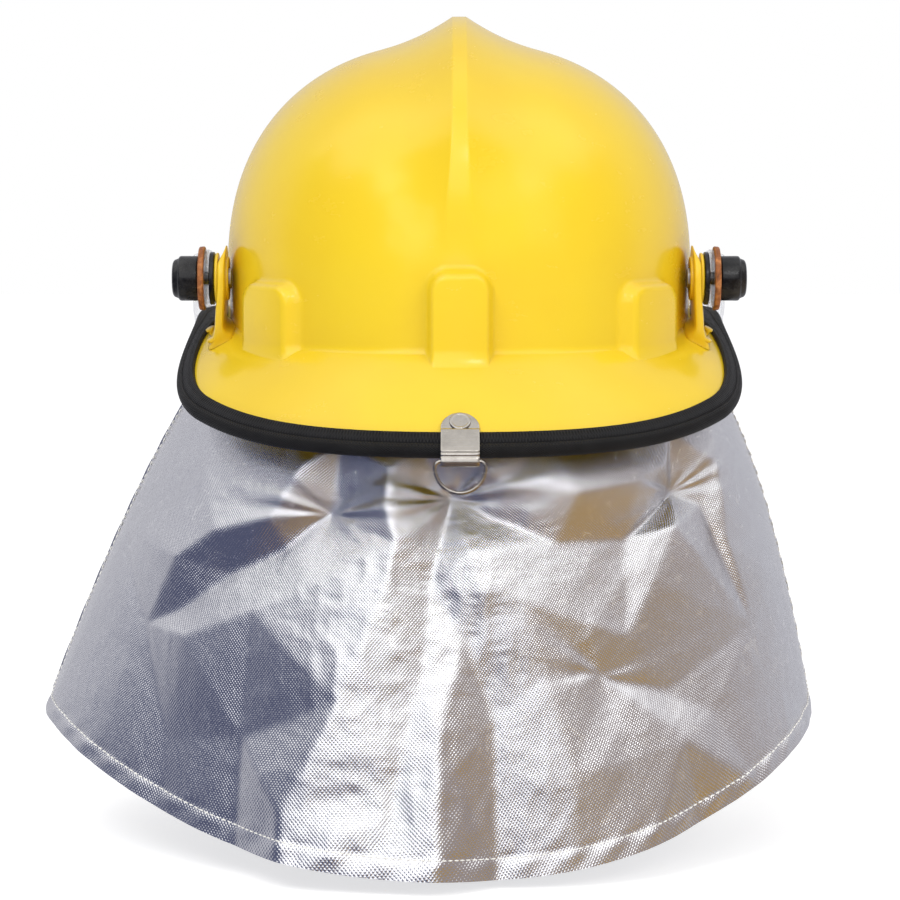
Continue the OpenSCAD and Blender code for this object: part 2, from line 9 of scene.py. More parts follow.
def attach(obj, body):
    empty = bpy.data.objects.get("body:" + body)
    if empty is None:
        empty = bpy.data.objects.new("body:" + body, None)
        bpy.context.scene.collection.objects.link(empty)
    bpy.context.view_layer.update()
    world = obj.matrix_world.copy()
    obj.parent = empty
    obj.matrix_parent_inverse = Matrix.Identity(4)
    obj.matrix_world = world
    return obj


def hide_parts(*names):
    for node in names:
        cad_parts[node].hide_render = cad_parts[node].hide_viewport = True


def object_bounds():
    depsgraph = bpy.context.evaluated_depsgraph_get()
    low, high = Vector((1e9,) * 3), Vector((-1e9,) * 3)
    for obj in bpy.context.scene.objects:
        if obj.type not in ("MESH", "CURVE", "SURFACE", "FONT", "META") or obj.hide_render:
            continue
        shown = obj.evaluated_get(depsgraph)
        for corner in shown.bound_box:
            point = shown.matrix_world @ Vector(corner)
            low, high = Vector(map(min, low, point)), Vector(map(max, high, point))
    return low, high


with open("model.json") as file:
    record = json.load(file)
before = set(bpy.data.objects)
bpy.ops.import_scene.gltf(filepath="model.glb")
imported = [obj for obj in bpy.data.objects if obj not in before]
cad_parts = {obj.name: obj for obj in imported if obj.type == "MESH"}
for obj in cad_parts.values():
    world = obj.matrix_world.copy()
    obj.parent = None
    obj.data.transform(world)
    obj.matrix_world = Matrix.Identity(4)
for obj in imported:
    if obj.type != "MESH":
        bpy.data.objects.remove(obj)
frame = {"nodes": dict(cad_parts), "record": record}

scene = bpy.context.scene
cad_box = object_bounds()

# Shapes are worked out in millimetres, in the CAD's frame, and stored in metres.
MM = 0.001
RAD = math.pi / 180

# --- driving sizes ---
dome_half_w = 115
dome_half_l = 133
dome_wall_h = 34
crown_h = 113.5
crown_n = 2.3
ridge_h = 12
shell_t = 2.6
brim_rear_w = 41
brim_side_w = 13.5
brim_front_w = 20
brim_rear_z = -38
brim_side_z = 13
brim_front_z = 3
brim_bend = 1.12
trim_depth = 8.5
boss_out = 7
# Bosses round the shell: angle from the back, half width, height of the top.
bosses = [(a, 13.8, 38.5) for a in (0, 180)] + [(a, 19.5, 31.5) for a in (50, 130, 230, 310)]
boss_corner = 9
cape_reach = 83
cape_inset = shell_t + 2.2
cape_left_w = 201
cape_right_w = 171
cape_back = 196
cape_low_z = -229
cloth_half_w = 190
cloth_h = 236
hem_turn = 6
band_half_w = 80
band_half_l = 97
band_t = 1.6
band_low_z = -22
band_h = 32
pad_t = 4.5
crossing_z = 106
strap_w = 20
strap_t = 1.2
strap_x = 104
chin_y = 8
chin_z = 4
chin_drop = 122
pivot_y = -45
pivot_z = 32
plate_x = 112.5
disc_x = 116.5
spacer_x = 118.3
lug_x = 120.8
visor_t = 2
washer_x = 122.95
knob_x = 126.1
knob_l = 12.7
knob_r = 10.8
roll_u = 45.6
roll_z = -44.2
ring_r = 11.3
ring_wire_r = 0.9
plate_half = 8.6


# --- shared maths ---
def smooth(t):
    c = np.clip(t, 0, 1)
    return c * c * (3 - 2 * c)


def unit(v):
    return v / np.linalg.norm(v, axis=-1, keepdims=True)


def signed_power(v, n):
    return np.sign(v) * abs(v) ** n


def fold(a):
    """The angle from the back, 0 to 180 on either side."""
    b = np.mod(a, 360)
    return np.where(b > 180, 360 - b, b)


def lerp(a, b, t):
    return a + (b - a) * t


def raised(xy, z):
    """Points from places in plan and their heights."""
    return np.concatenate([xy, np.broadcast_to(z, xy.shape[:-1])[..., None]], -1)


def oval(a, w=dome_half_w, l=dome_half_l):
    return np.stack([w * np.sin(a * RAD), -l * np.cos(a * RAD)], -1)


def oval_normal(a, w=dome_half_w, l=dome_half_l):
    return unit(np.stack([np.sin(a * RAD) / w, -np.cos(a * RAD) / l], -1))


def stand_off(a, off, z):
    """A point at angle a from the back, off the foot of the dome by a distance, at a height."""
    a, off, z = np.broadcast_arrays(np.asarray(a, float), off, z)
    p = oval(a) + off[..., None] * oval_normal(a)
    return raised(p, z)


def brim_w(a):
    f = fold(a)
    return (brim_rear_w + (brim_side_w - brim_rear_w) * smooth((f - 50) / 40) ** 0.8
            + (brim_front_w - brim_side_w) * smooth((f - 95) / 70))


def brim_z(a):
    f = fold(a)
    return (brim_rear_z + (brim_side_z - brim_rear_z) * smooth((f + 17) / 117) ** 3
            + (brim_front_z - brim_side_z) * smooth((f - 105) / 70))


def foot_z(a):
    return 1 + 8 * smooth((fold(a) - 45) / 35)


def brim_slope(a):
    return brim_bend * (brim_z(a) - foot_z(a)) / brim_w(a)


def brim_drop(a):
    return shell_t * np.hypot(1, brim_slope(a))


def ridge(p):
    along = smooth((p[..., 2] - 44) / 62)
    crest = 3 + 4 * (1 - along)
    flank = 16 + 22 * along
    across = np.clip((abs(p[..., 0]) - crest) / flank, 0, 1)
    return ridge_h * along * (1 - across) ** 2.2


def bosses_out(p):
    out = np.zeros(p.shape[:-1])
    for angle, half, top in bosses:
        centre = oval(angle)
        normal = oval_normal(angle)
        to = p[..., :2] - centre
        side = to[..., 0] * normal[1] - to[..., 1] * normal[0]
        past = np.maximum(abs(side) - half + boss_corner, 0)
        above = np.maximum(p[..., 2] - top + boss_corner, 0)
        this_side = to @ normal > -60
        bulge = boss_out * smooth((boss_corner + 2 - np.hypot(past, above)) / 4.5)
        out = np.maximum(out, np.where(this_side, bulge, 0))
    return out


def crown_point(a, r, inset, share):
    q = oval(a, r * dome_half_w, r * dome_half_l)
    z = dome_wall_h + crown_h * (1 - r ** crown_n) ** (1 / crown_n)
    p = raised(q, z)
    out = unit(raised(q, 1.1 * (z - dome_wall_h) + 0.001))
    return p + out * (share * (ridge(p) + bosses_out(p)) - inset)[..., None]


def wall_point(a, z, inset, share):
    p = stand_off(a, 0, z)
    return stand_off(a, share * (ridge(p) + bosses_out(p)) - inset, z)


def brim_point(a, q, drop):
    start = bosses_out(stand_off(a, 0, foot_z(a)))
    off = start + (brim_w(a) - start) * q
    return stand_off(a, off, foot_z(a) + (brim_z(a) - foot_z(a)) * (off / brim_w(a)) ** brim_bend - drop)


# --- materials ---
class Nodes:
    """Helpers that add nodes to one tree. Textures are read at place."""

    def __init__(self, tree, coordinates):
        self.tree = tree
        self.place = self.node("TexCoord").outputs[coordinates]

    def node(self, kind, values=None, **settings):
        made = self.tree.nodes.new("ShaderNode" + kind)
        for key, value in settings.items():
            setattr(made, key, value)
        for key, value in (values or {}).items():
            if hasattr(value, "is_output"):
                self.tree.links.new(value, made.inputs[key])
            else:
                made.inputs[key].default_value = value
        return made

    def noise(self, scale, detail=3.0, rough=0.5, vector=None, distortion=0.0):
        return self.node("TexNoise", {
            "Vector": vector or self.place, "Scale": scale, "Detail": detail,
            "Roughness": rough, "Distortion": distortion}).outputs["Fac"]

    def maths(self, kind, a, b=0.0):
        return self.node("Math", {0: a, 1: b}, operation=kind).outputs["Value"]

    def blend(self, fac, a, b):
        a, b = [c if hasattr(c, "is_output") else (*c, 1) for c in (a, b)]
        return self.node("Mix", {0: fac, 6: a, 7: b}, data_type="RGBA").outputs[2]


class Shader(Nodes):
    """One node material. Constants are set on the shader's own sockets."""

    def __init__(self, name, color, rough, metallic=0.0, **sockets):
        self.mat = bpy.data.materials.new(name)
        self.mat.use_nodes = True
        super().__init__(self.mat.node_tree, "Object")
        self.top = self.tree.nodes["Principled BSDF"].inputs
        fixed = {"Base Color": (*color, 1), "Roughness": rough, "Metallic": metallic}
        for key, value in (fixed | sockets).items():
            self.top[key.replace("_", " ")].default_value = value

    def stretched(self, x, y, z):
        return self.node("Mapping", {"Vector": self.place, "Scale": (x, y, z)}).outputs["Vector"]

    def cloth_uv(self):
        return self.node("UVMap", uv_map="cloth").outputs["UV"]

    def stripes(self, degrees, scale, distortion, detail_scale=1.0):
        """Soft stripes across the cloth's UVs, turned by an angle."""
        turned = self.node("Mapping", {"Vector": self.cloth_uv(), "Rotation": (0, 0, degrees * RAD)})
        return self.node("TexWave", {
            "Vector": turned.outputs["Vector"], "Scale": scale, "Distortion": distortion,
            "Detail": 2.0, "Detail Scale": detail_scale}).outputs["Fac"]

    def cells(self, scale):
        return self.node("TexVoronoi", {"Vector": self.place, "Scale": scale}).outputs["Distance"]

    def ramp(self, fac, *stops):
        """A colour or a grey for each stop: its position, then its tone."""
        made = self.node("ValToRGB", {"Fac": fac})
        points = made.color_ramp.elements
        while len(points) < len(stops):
            points.new(0.5)
        for point, (where, tone) in zip(points, stops):
            point.position = where
            point.color = (*tone, 1) if isinstance(tone, tuple) else (tone, tone, tone, 1)
        return made.outputs["Color"]

    def bump(self, height, strength, distance, under=None):
        values = {"Height": height, "Strength": strength, "Distance": distance}
        if under:
            values["Normal"] = under
        return self.node("Bump", values).outputs["Normal"]

    def finish(self, color=None, rough=None, normal=None):
        """The material, with its sockets driven by these node outputs."""
        for key, value in (("Base Color", color), ("Roughness", rough), ("Normal", normal)):
            if value:
                self.tree.links.new(value, self.top[key])
        return self.mat


def moulded_plastic(name, color, dark, rough=0.2):
    """Glossy moulded plastic with a faint orange peel, dust and fine scuffs."""
    s = Shader(name, color, rough, IOR=1.5, Coat_Weight=0.25, Coat_Roughness=0.08)
    cloud = s.noise(14, 4)
    dust = s.ramp(cloud, (0.3, 0.0), (0.8, 1.0))
    scuffs = s.ramp(s.noise(60, 6, 0.65, s.stretched(1, 1, 2)), (0.55, 0.0), (0.75, 1.0))
    return s.finish(s.blend(s.ramp(cloud, (0.35, 0.0), (0.75, 1.0)), color, dark),
                    s.ramp(s.blend(0.5, dust, scuffs), (0.0, rough), (1.0, rough + 0.16)),
                    s.bump(s.noise(420, 2, 0.4), 0.05, 0.0004))


def woven_rubber():
    """Black channel with the pattern of a braid pressed into it."""
    s = Shader("woven_rubber", (0.012, 0.012, 0.013), 0.5, Specular_IOR_Level=0.22)
    weave = s.maths("MAXIMUM", s.stripes(45, 330, 1.2), s.stripes(-45, 330, 1.2))
    grime = s.noise(90, 5, 0.6)
    return s.finish(s.blend(grime, (0.003, 0.003, 0.004), (0.014, 0.014, 0.015)),
                    s.ramp(weave, (0.2, 0.75), (1.0, 0.42)),
                    s.bump(weave, 0.9, 0.0005, s.bump(grime, 0.2, 0.0005)))


def aluminised_cloth():
    """Metallised weave: mirror bright, with yarns that break the reflection up, and scuffs."""
    s = Shader("aluminised_cloth", (0.86, 0.86, 0.88), 0.2, 1.0)
    yarn = s.maths("MULTIPLY", s.stripes(52, 300, 2.0, 1.5), s.stripes(-38, 300, 2.0, 1.5))
    crush = s.noise(38, 7, 0.62, s.cloth_uv(), 0.6)
    scuff = s.ramp(s.noise(90, 8, 0.75, s.cloth_uv(), 1.5), (0.56, 0.0), (0.66, 1.0))
    return s.finish(s.blend(scuff, (0.80, 0.80, 0.83), (0.93, 0.93, 0.94)),
                    s.ramp(s.blend(0.5, crush, scuff), (0.2, 0.17), (0.8, 0.30)),
                    s.bump(yarn, 0.42, 0.00035, s.bump(crush, 0.25, 0.0016)))


def cloth(name, color, light, pitch=0.0011):
    """Plain woven cloth or webbing, by place, so that it needs no UVs."""
    s = Shader(name, color, 0.85, Sheen_Weight=0.3, Sheen_Roughness=0.5, Specular_IOR_Level=0.25)
    turns = 2 * math.pi / pitch / 20
    x, y, z = [s.node("TexWave", {"Vector": s.place, "Scale": turns, "Distortion": 0.6, "Detail": 1.0},
                      bands_direction=axis).outputs["Fac"] for axis in "XYZ"]
    weave = s.maths("MULTIPLY", s.maths("ADD", x, y), z)
    return s.finish(s.blend(s.noise(55, 5, 0.6), color, light), normal=s.bump(weave, 0.5, 0.0004))


def leather(name, color, light):
    s = Shader(name, color, 0.55, Specular_IOR_Level=0.4)
    tone = s.noise(40, 5)
    return s.finish(s.blend(tone, color, light), s.ramp(tone, (0.3, 0.45), (0.8, 0.7)),
                    s.bump(s.cells(900), 0.35, 0.0004, s.bump(tone, 0.15, 0.001)))


def foam(name, color, light):
    s = Shader(name, color, 0.95, Specular_IOR_Level=0.15)
    beads = s.cells(380)
    return s.finish(s.blend(beads, light, color), normal=s.bump(beads, 0.5, 0.0008))


def satin_plastic(name, color, rough, grain=1500.0):
    s = Shader(name, color, rough, Specular_IOR_Level=0.36)
    rub = s.noise(70, 5, 0.65)
    lighter = tuple(0.035 + 1.1 * c for c in color)
    return s.finish(s.blend(s.ramp(rub, (0.45, 0.0), (0.8, 1.0)), color, lighter),
                    s.ramp(rub, (0.3, rough - 0.12), (0.75, rough + 0.18)),
                    s.bump(s.noise(grain, 3, 0.6), 0.12, 0.0003))


def steel(name, color, rough, brushed=True):
    s = Shader(name, color, rough, 1.0)
    lines = s.noise(500, 4, 0.6, s.stretched(0.04, 1, 1) if brushed else s.place)
    spots = s.ramp(s.noise(160, 5, 0.6), (0.4, 0.0), (0.75, 1.0))
    return s.finish(s.blend(spots, color, tuple(0.82 * c for c in color)),
                    s.ramp(lines, (0.3, rough - 0.05), (0.7, rough + 0.12)),
                    s.bump(lines, 0.1, 0.0002))


def brown_fibre():
    """Pressed fibre: copper brown, mottled light and dark."""
    s = Shader("brown_fibre", (0.22, 0.08, 0.025), 0.45, Specular_IOR_Level=0.4)
    mottle = s.noise(260, 6, 0.7, distortion=0.8)
    browns = (0.25, (0.05, 0.018, 0.008)), (0.5, (0.26, 0.085, 0.022)), (0.75, (0.62, 0.27, 0.09))
    return s.finish(s.ramp(mottle, *browns), s.ramp(mottle, (0.3, 0.55), (0.8, 0.32)),
                    s.bump(mottle, 0.25, 0.0005))


def clear_sheet():
    s = Shader("clear_polycarbonate", (0.93, 0.96, 0.97), 0.03, IOR=1.3, Transmission_Weight=1.0, Alpha=0.35)
    return s.finish(rough=s.ramp(s.noise(30, 5, 0.6), (0.45, 0.02), (0.85, 0.09)))


def thread():
    s = Shader("off_white_thread", (0.82, 0.81, 0.76), 0.8, Sheen_Weight=0.2)
    twist = s.noise(2500, 2, 0.5)
    return s.finish(s.blend(twist, (0.72, 0.71, 0.66), (0.9, 0.89, 0.85)),
                    normal=s.bump(twist, 0.4, 0.0003))


MATERIALS = {
    "shell": moulded_plastic("yellow_shell", (0.77, 0.545, 0.018), (0.74, 0.50, 0.014)),
    "bracket": moulded_plastic("yellow_bracket", (0.77, 0.52, 0.018), (0.72, 0.46, 0.014), 0.26),
    "trim": woven_rubber(),
    "aluminised": aluminised_cloth(),
    "lining": cloth("navy_lining", (0.012, 0.017, 0.06), (0.03, 0.038, 0.11)),
    "tape": cloth("hook_and_loop", (0.012, 0.012, 0.014), (0.04, 0.04, 0.045), 0.0008),
    "webbing": cloth("dark_webbing", (0.015, 0.017, 0.024), (0.05, 0.055, 0.07), 0.0016),
    "pad": leather("brown_leather", (0.075, 0.035, 0.018), (0.15, 0.08, 0.042)),
    "foam": foam("grey_foam", (0.02, 0.022, 0.026), (0.06, 0.065, 0.075)),
    "band": satin_plastic("black_nylon", (0.014, 0.014, 0.016), 0.45),
    "black_plastic": satin_plastic("black_knob_plastic", (0.004, 0.004, 0.005), 0.22, 700.0),
    "steel": steel("polished_steel", (0.50, 0.47, 0.43), 0.2),
    "zinc": steel("zinc_plate", (0.5, 0.5, 0.52), 0.35, False),
    "friction": brown_fibre(),
    "clear": clear_sheet(),
    "thread": thread(),
}


# --- meshes ---
def make_piece(name, shape, slot, body="helmet", stands_for=(), sharp=40, material=None):
    """A mesh object from a shape's points in mm, faces and any UVs."""
    points, faces, *uvs = shape
    mesh = bpy.data.meshes.new(name)
    mesh.from_pydata((np.asarray(points).reshape(-1, 3) * MM).tolist(), [], faces)
    if uvs:
        layer = mesh.uv_layers.new(name="cloth")
        layer.data.foreach_set("uv", np.asarray(uvs[0], dtype=np.float32).ravel())
    work = bmesh.new()
    work.from_mesh(mesh)
    bmesh.ops.recalc_face_normals(work, faces=work.faces)
    work.to_mesh(mesh)
    work.free()
    return place_piece(name, mesh, sharp, material or slot, body, stands_for)


def add_object(name, data):
    obj = bpy.data.objects.new(name, data)
    scene.collection.objects.link(obj)
    return obj


def place_piece(name, mesh, sharp, material, body, stands_for):
    """The object for a finished mesh, riding on a body and standing for CAD nodes."""
    mesh.shade_smooth()
    mesh.set_sharp_from_angle(angle=sharp * RAD)
    mesh.materials.append(MATERIALS[material])
    obj = add_object(name, mesh)
    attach(obj, body)
    if stands_for:
        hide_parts(*stands_for)
    return obj


def body_of(node):
    return next(body for body, nodes in frame["record"]["behaviour"]["bodies"].items() if node in nodes)


def quads(rows, cols, wrap_rows=False, wrap_cols=False):
    """Faces of a grid of points, and the row and column of each face corner."""
    r = np.arange(rows if wrap_rows else rows - 1)
    c = np.arange(cols if wrap_cols else cols - 1)
    i, j = [x.ravel() for x in np.meshgrid(r, c, indexing="ij")]
    corners = [(i, j), (i, j + 1), (i + 1, j + 1), (i + 1, j)]
    faces = np.stack([(a % rows) * cols + b % cols for a, b in corners], -1)
    places = np.stack([np.stack([a, b], -1) for a, b in corners], 1)
    return faces.tolist(), places


def tube(rings):
    """Points and faces of rings that are closed both ways round."""
    return rings, quads(*rings.shape[:2], wrap_rows=True, wrap_cols=True)[0]


def capped(rings, first, last):
    """Points and faces of closed rings, with one more point to close each end."""
    rows, cols = rings.shape[:2]
    faces, _ = quads(rows, cols, wrap_cols=True)
    points = np.concatenate([rings.reshape(-1, 3), [first, last]])
    top, bottom, end = rows * cols, rows * cols + 1, (rows - 1) * cols
    for k in range(cols):
        n = (k + 1) % cols
        faces += [[top, n, k], [bottom, end + k, end + n]]
    return points, faces


def sheet(outer, inner, size):
    """A closed sheet between two grids. size is the metres of cloth along its rows and columns."""
    rows, cols = outer.shape[:2]
    points = np.concatenate([outer.reshape(-1, 3), inner.reshape(-1, 3)])
    count = rows * cols
    faces, places = quads(rows, cols)
    back = [[count + v for v in f[::-1]] for f in faces]
    index = np.arange(count).reshape(rows, cols)
    rim = np.concatenate([index[0], index[1:, -1], index[-1, -2::-1], index[-2:0:-1, 0]]).tolist()
    edge, edge_places = [], []
    for a, b in zip(rim, rim[1:] + rim[:1]):
        edge.append([b, a, a + count, b + count])
        edge_places.append([divmod(v, cols) for v in (b, a, a, b)])
    places = np.concatenate([places, places[:, ::-1], edge_places])
    return points, faces + back + edge, places[..., ::-1] / [cols - 1, rows - 1] * [size[1], size[0]]


def relaxed(line, times):
    """A line of values or points, smoothed between its fixed ends."""
    for _ in range(times):
        line[1:-1] = (line[:-2] + 2 * line[1:-1] + line[2:]) / 4
    return line


def beside(along):
    """Unit vectors to the right of directions in a plane."""
    return unit(np.stack([along[:, 1], -along[:, 0]], -1))


def lengths(line):
    """How far along a line each of its points is."""
    return np.concatenate([[0], np.cumsum(np.linalg.norm(np.diff(line, axis=0), axis=1))])


def ring_angles(n, pull=17):
    """Angles round a ring, drawn together towards the front and the back."""
    t = 360 * np.arange(n) / n
    return t - pull * np.sin(2 * t * RAD)


def rounded(profile, radius, steps=3):
    """The profile with each corner rounded by a short curve."""
    out = []
    points = [np.array(p, float) for p in profile]
    for k, p in enumerate(points):
        a, b = points[k - 1] - p, points[(k + 1) % len(points)] - p
        reach = min(radius, 0.45 * np.linalg.norm(a), 0.45 * np.linalg.norm(b))
        start, end = p + unit(a) * reach, p + unit(b) * reach
        for i in range(steps + 1):
            t = i / steps
            out.append((1 - t) ** 2 * start + 2 * t * (1 - t) * p + t * t * end)
    return np.array(out)


# --- shell ---
def build_shell():
    """The moulded bowl and brim. Inside, the ridge and bosses are a share of their outer height."""
    a = ring_angles(480)
    levels = np.linspace(24, 1, 18) / crown_h
    crown = np.concatenate([np.sin(np.linspace(0.012, math.pi / 2 - 0.17, 60)),
                            (1 - levels ** crown_n) ** (1 / crown_n)])
    walls = np.linspace(dome_wall_h, 3.0, 26)
    brim = np.concatenate([[0.012, 0.03, 0.06], np.linspace(0.1, 1, 20)])
    lip, inner_share = 0.55, 0.8
    outer = [crown_point(a, r, 0, 1) for r in crown]
    outer += [wall_point(a, np.maximum(z, foot_z(a) + 0.6), 0, 1) for z in walls]
    outer += [brim_point(a, q, 0) for q in brim]
    edge = lerp(brim_point(a, 1.0, 0), brim_point(a, 1.0, brim_drop(a)), 0.5)
    outer.append(edge + raised(lip * oval_normal(a), 0))
    inner = [crown_point(a, r, shell_t, inner_share) for r in crown]
    inner += [wall_point(a, np.maximum(z, foot_z(a) + 1), shell_t, inner_share) for z in walls]
    inner.append(stand_off(a, -shell_t, foot_z(a) - 1.2))
    inner += [brim_point(a, q, brim_drop(a)) for q in np.linspace(0.3, 1, 14)]
    top = dome_wall_h + crown_h + ridge_h
    inner_top = top - shell_t - ridge_h * (1 - inner_share)
    shape = capped(np.array(outer + inner[::-1]), (0, 0, top), (0, 0, inner_top))
    make_piece("helmet_shell", shape, "shell", stands_for=["shell"], sharp=75)


def build_trim():
    """The channel round the brim's edge, with a moulded step along its lower third."""
    cols = 600
    a = ring_angles(cols, 0)
    slot = shell_t / 2 + 0.3
    half = 3.4
    face = [(-trim_depth, half - 0.5), (-trim_depth + 0.5, half), (-2.2, half), (-1.9, half - 0.25),
            (-1.6, half), (0.2, half)]
    nose = [(0.2 + 2.9 * math.cos(t), half * math.sin(t)) for t in np.linspace(80, -80, 13) * RAD]
    back = [(0.2, -half), (-trim_depth + 0.5, -half), (-trim_depth, -half + 0.5), (-trim_depth, -slot),
            (0.35, -slot), (0.35, slot), (-trim_depth, slot)]
    section = face + nose + back
    tip = np.arctan(brim_slope(a))
    rings = np.array([stand_off(a, brim_w(a) + x * np.cos(tip) - y * np.sin(tip),
                                brim_z(a) - brim_drop(a) / 2 + x * np.sin(tip) + y * np.cos(tip))
                      for x, y in section])
    faces, places = quads(len(section), cols, wrap_rows=True, wrap_cols=True)
    length = lengths(rings[0])[-1] * MM
    round_m = 0.026
    uvs = places[..., ::-1] / [cols, len(section)] * [length, round_m]
    make_piece("edge_trim_channel", (rings, faces, uvs), "trim", stands_for=["edge_trim"], sharp=50)


# --- neck cape ---
def hem(u):
    """The cape's lower edge: half an ellipse in plan, higher at its sides."""
    b = u * math.pi / 2
    side_w, side_y, side_rise = np.where(b > 0, cape_right_w, cape_left_w), -44, 54
    return np.stack([side_w * np.sin(b), side_y - (cape_back + side_y) * np.cos(b),
                     cape_low_z + side_rise * abs(np.sin(b)) ** 2.3], -1)


def cape_base(u, v):
    """The smooth cape: from the shell's foot out under the brim's edge and down to the hem."""
    a, v = u * cape_reach, v[..., None]
    start = stand_off(a, -cape_inset, foot_z(a) - 1.5)
    by = stand_off(a, 29 + 9 * smooth(abs(u)), -44)
    return (1 - v) ** 2 * start + 2 * v * (1 - v) * by + v * v * hem(u)


# Places on the cape: u from the left side edge (-1) to the right one (1), v from the top (0) to the hem (1).
# Each fold point is (u, v, mm proud of the smooth cone).
left_pinch, mid_pinch, right_pinch = PINCHES = [(-0.28, 0.465, -5), (-0.02, 0.42, -5), (0.54, 0.45, -6)]
left_point, block_corner = (-0.645, 0.755, -2), (-0.12, 0.52, 5)
star, right_fall = (0.27, 0.75, -1.5), (0.72, 0.9, 0.5)
# Creases: lines of fold points that the facets don't cross.
CREASES = [
    [(-0.34, 0.38, 6), left_pinch, (-0.39, 0.5, 6), (-0.5, 0.55, 7.5), (-0.58, 0.62, 6.5), left_point],
    [left_pinch, (-0.36, 0.545, -2.5), (-0.47, 0.615, -2.5), (-0.57, 0.71, -2), left_point],
    [block_corner, (-0.25, 0.6, 4.5), (-0.38, 0.67, 3.5), (-0.52, 0.745, 2), left_point,
     (-0.52, 0.905, -5), (-0.5, 1, -6)],
    [left_pinch, block_corner],
    [mid_pinch, (-0.14, 0.62, 7), (-0.19, 0.78, 10), (-0.26, 0.94, 11.5), (-0.25, 1, 12)],
    [mid_pinch, (-0.055, 0.6, 0), (-0.07, 0.76, 4), (-0.09, 0.88, 6.5), (-0.11, 1, 10)],
    [mid_pinch, (0.02, 0.53, 3.5), (0.035, 0.6, 4), (0.005, 0.67, 1), (-0.03, 0.82, 7), (-0.03, 1, 11.5)],
    [mid_pinch, (0.1, 0.4, 2.5), (0.25, 0.43, 8), (0.4, 0.42, 7), right_pinch],
    [mid_pinch, (0.2, 0.52, 1), (0.36, 0.53, 0), right_pinch],
    [right_pinch, (0.475, 0.53, 4), (0.4, 0.62, 3.5), (0.33, 0.7, 1), star, (0.2, 0.88, 3)],
    [star, (0.4, 0.8, -2), (0.5, 0.86, 0), right_fall],
    [star, (0.42, 0.88, 3), (0.58, 1, 3)],
    [star, (0.31, 0.88, 2), (0.33, 1, 3)],
    [right_pinch, (0.6, 0.5, -2), (0.66, 0.76, 0), right_fall],
    [right_pinch, (0.47, 0.44, 2), (0.5, 0.39, 3)],
]
# Fold points beside the creases: the top and the sides first, then from left to right.
LOOSE = [
    (-1, 0, 0), (-0.6, 0, 0), (-0.2, 0, 0), (0.2, 0, 0), (0.6, 0, 0), (1, 0, 0), (-1, 0.3, 0),
    (-0.7, 0.3, 1), (-0.4, 0.3, 3), (-0.27, 0.3, 3), (-0.1, 0.3, 3), (0, 0.3, 4), (0.2, 0.3, 5),
    (0.38, 0.3, 5), (0.55, 0.3, 2), (0.72, 0.3, 3), (1, 0.3, 0), (-1, 0.62, 0), (-1, 1, 0), (1, 0.62, 0),
    (1, 1, 0),
    (-0.88, 1, 1), (-0.86, 0.62, 1), (-0.86, 0.86, 1), (-0.74, 1, -2), (-0.62, 0.42, 3), (-0.62, 0.9, -3),
    (-0.36, 0.86, -1), (-0.34, 1, -2), (-0.15, 0.45, 5), (-0.15, 0.37, 4), (0.06, 1, -2), (0.06, 0.8, -1.5),
    (0.12, 0.62, 4), (0.16, 0.74, 2), (0.19, 1, 2), (0.44, 1, -1), (0.63, 0.6, 2), (0.66, 0.42, 4),
    (0.72, 1, 3), (0.86, 0.75, 1), (0.86, 1, 1),
]


def facet_lift(U, V):
    """Flat facets between the fold points, joined along the creases."""
    points = list(dict.fromkeys([p for line in CREASES for p in line] + LOOSE))
    edges = [(points.index(a), points.index(b)) for line in CREASES for a, b in zip(line, line[1:])]
    places = [Vector(p[:2]) for p in points]
    verts, _, faces, origin, _, _ = geometry.delaunay_2d_cdt(places, edges, [], 0, 1e-6)
    height = [points[o[0]][2] if o else 0.0 for o in origin]
    lift = np.zeros_like(U)
    for face in faces:
        (xa, ya), (xb, yb), (xc, yc) = [verts[k] for k in face]
        area = (xb - xa) * (yc - ya) - (xc - xa) * (yb - ya)
        if abs(area) < 1e-9:
            continue
        wb = ((U - xa) * (yc - ya) - (xc - xa) * (V - ya)) / area
        wc = ((xb - xa) * (V - ya) - (U - xa) * (yb - ya)) / area
        wa = 1 - wb - wc
        inside = (wa >= -1e-6) & (wb >= -1e-6) & (wc >= -1e-6)
        ha, hb, hc = [height[k] for k in face]
        lift = np.where(inside, wa * ha + wb * hb + wc * hc, lift)
    return lift


def soften(field, steps):
    for _ in range(steps):
        wide = np.pad(field, 1, mode="edge")
        field = (wide[:-2, 1:-1] + wide[2:, 1:-1] + wide[1:-1, :-2] + wide[1:-1, 2:] + 4 * field) / 8
    return field


def between(table, i, j, a, b):
    """What a table holds a part a and b of the way from its cells i, j to the next ones."""
    rows, cols = table.shape
    near, far = [lerp(table[k % rows, j % cols], table[k % rows, (j + 1) % cols], b) for k in (i, i + 1)]
    return lerp(near, far, a)


def rumple(x, y, size, seed):
    """Smooth seeded noise from -1 to 1 on a grid of places in mm."""
    table = np.random.default_rng(seed).uniform(-1, 1, (256, 256))
    gx, gy = x / size, y / size
    i, j = np.floor(gx).astype(int), np.floor(gy).astype(int)
    return between(table, i, j, smooth(gx - i), smooth(gy - j))


def crinkle(x, y, size, seed):
    """Sharp creases between soft patches, as crushed foil has."""
    return 1 - 2 * abs(rumple(x, y, size, seed))


def cloth_mm(u, v, half_w=cloth_half_w):
    """Places on the cape as millimetres of cloth from the middle of its top."""
    return half_w * u * (0.62 + 0.38 * v), cloth_h * v


def fan(x, y, u, v, count, reach, deep):
    """Pleats that run out from a pinched point."""
    px, py = cloth_mm(u, v)
    r = np.hypot(x - px, y - py)
    turn = np.arctan2(y - py, x - px)
    ray = np.cos(count * turn + 2.1 * np.sin(2 * turn + count) + r / 30)
    return deep * signed_power(ray, 0.7) * smooth(r / 9) * np.exp(-r / reach)


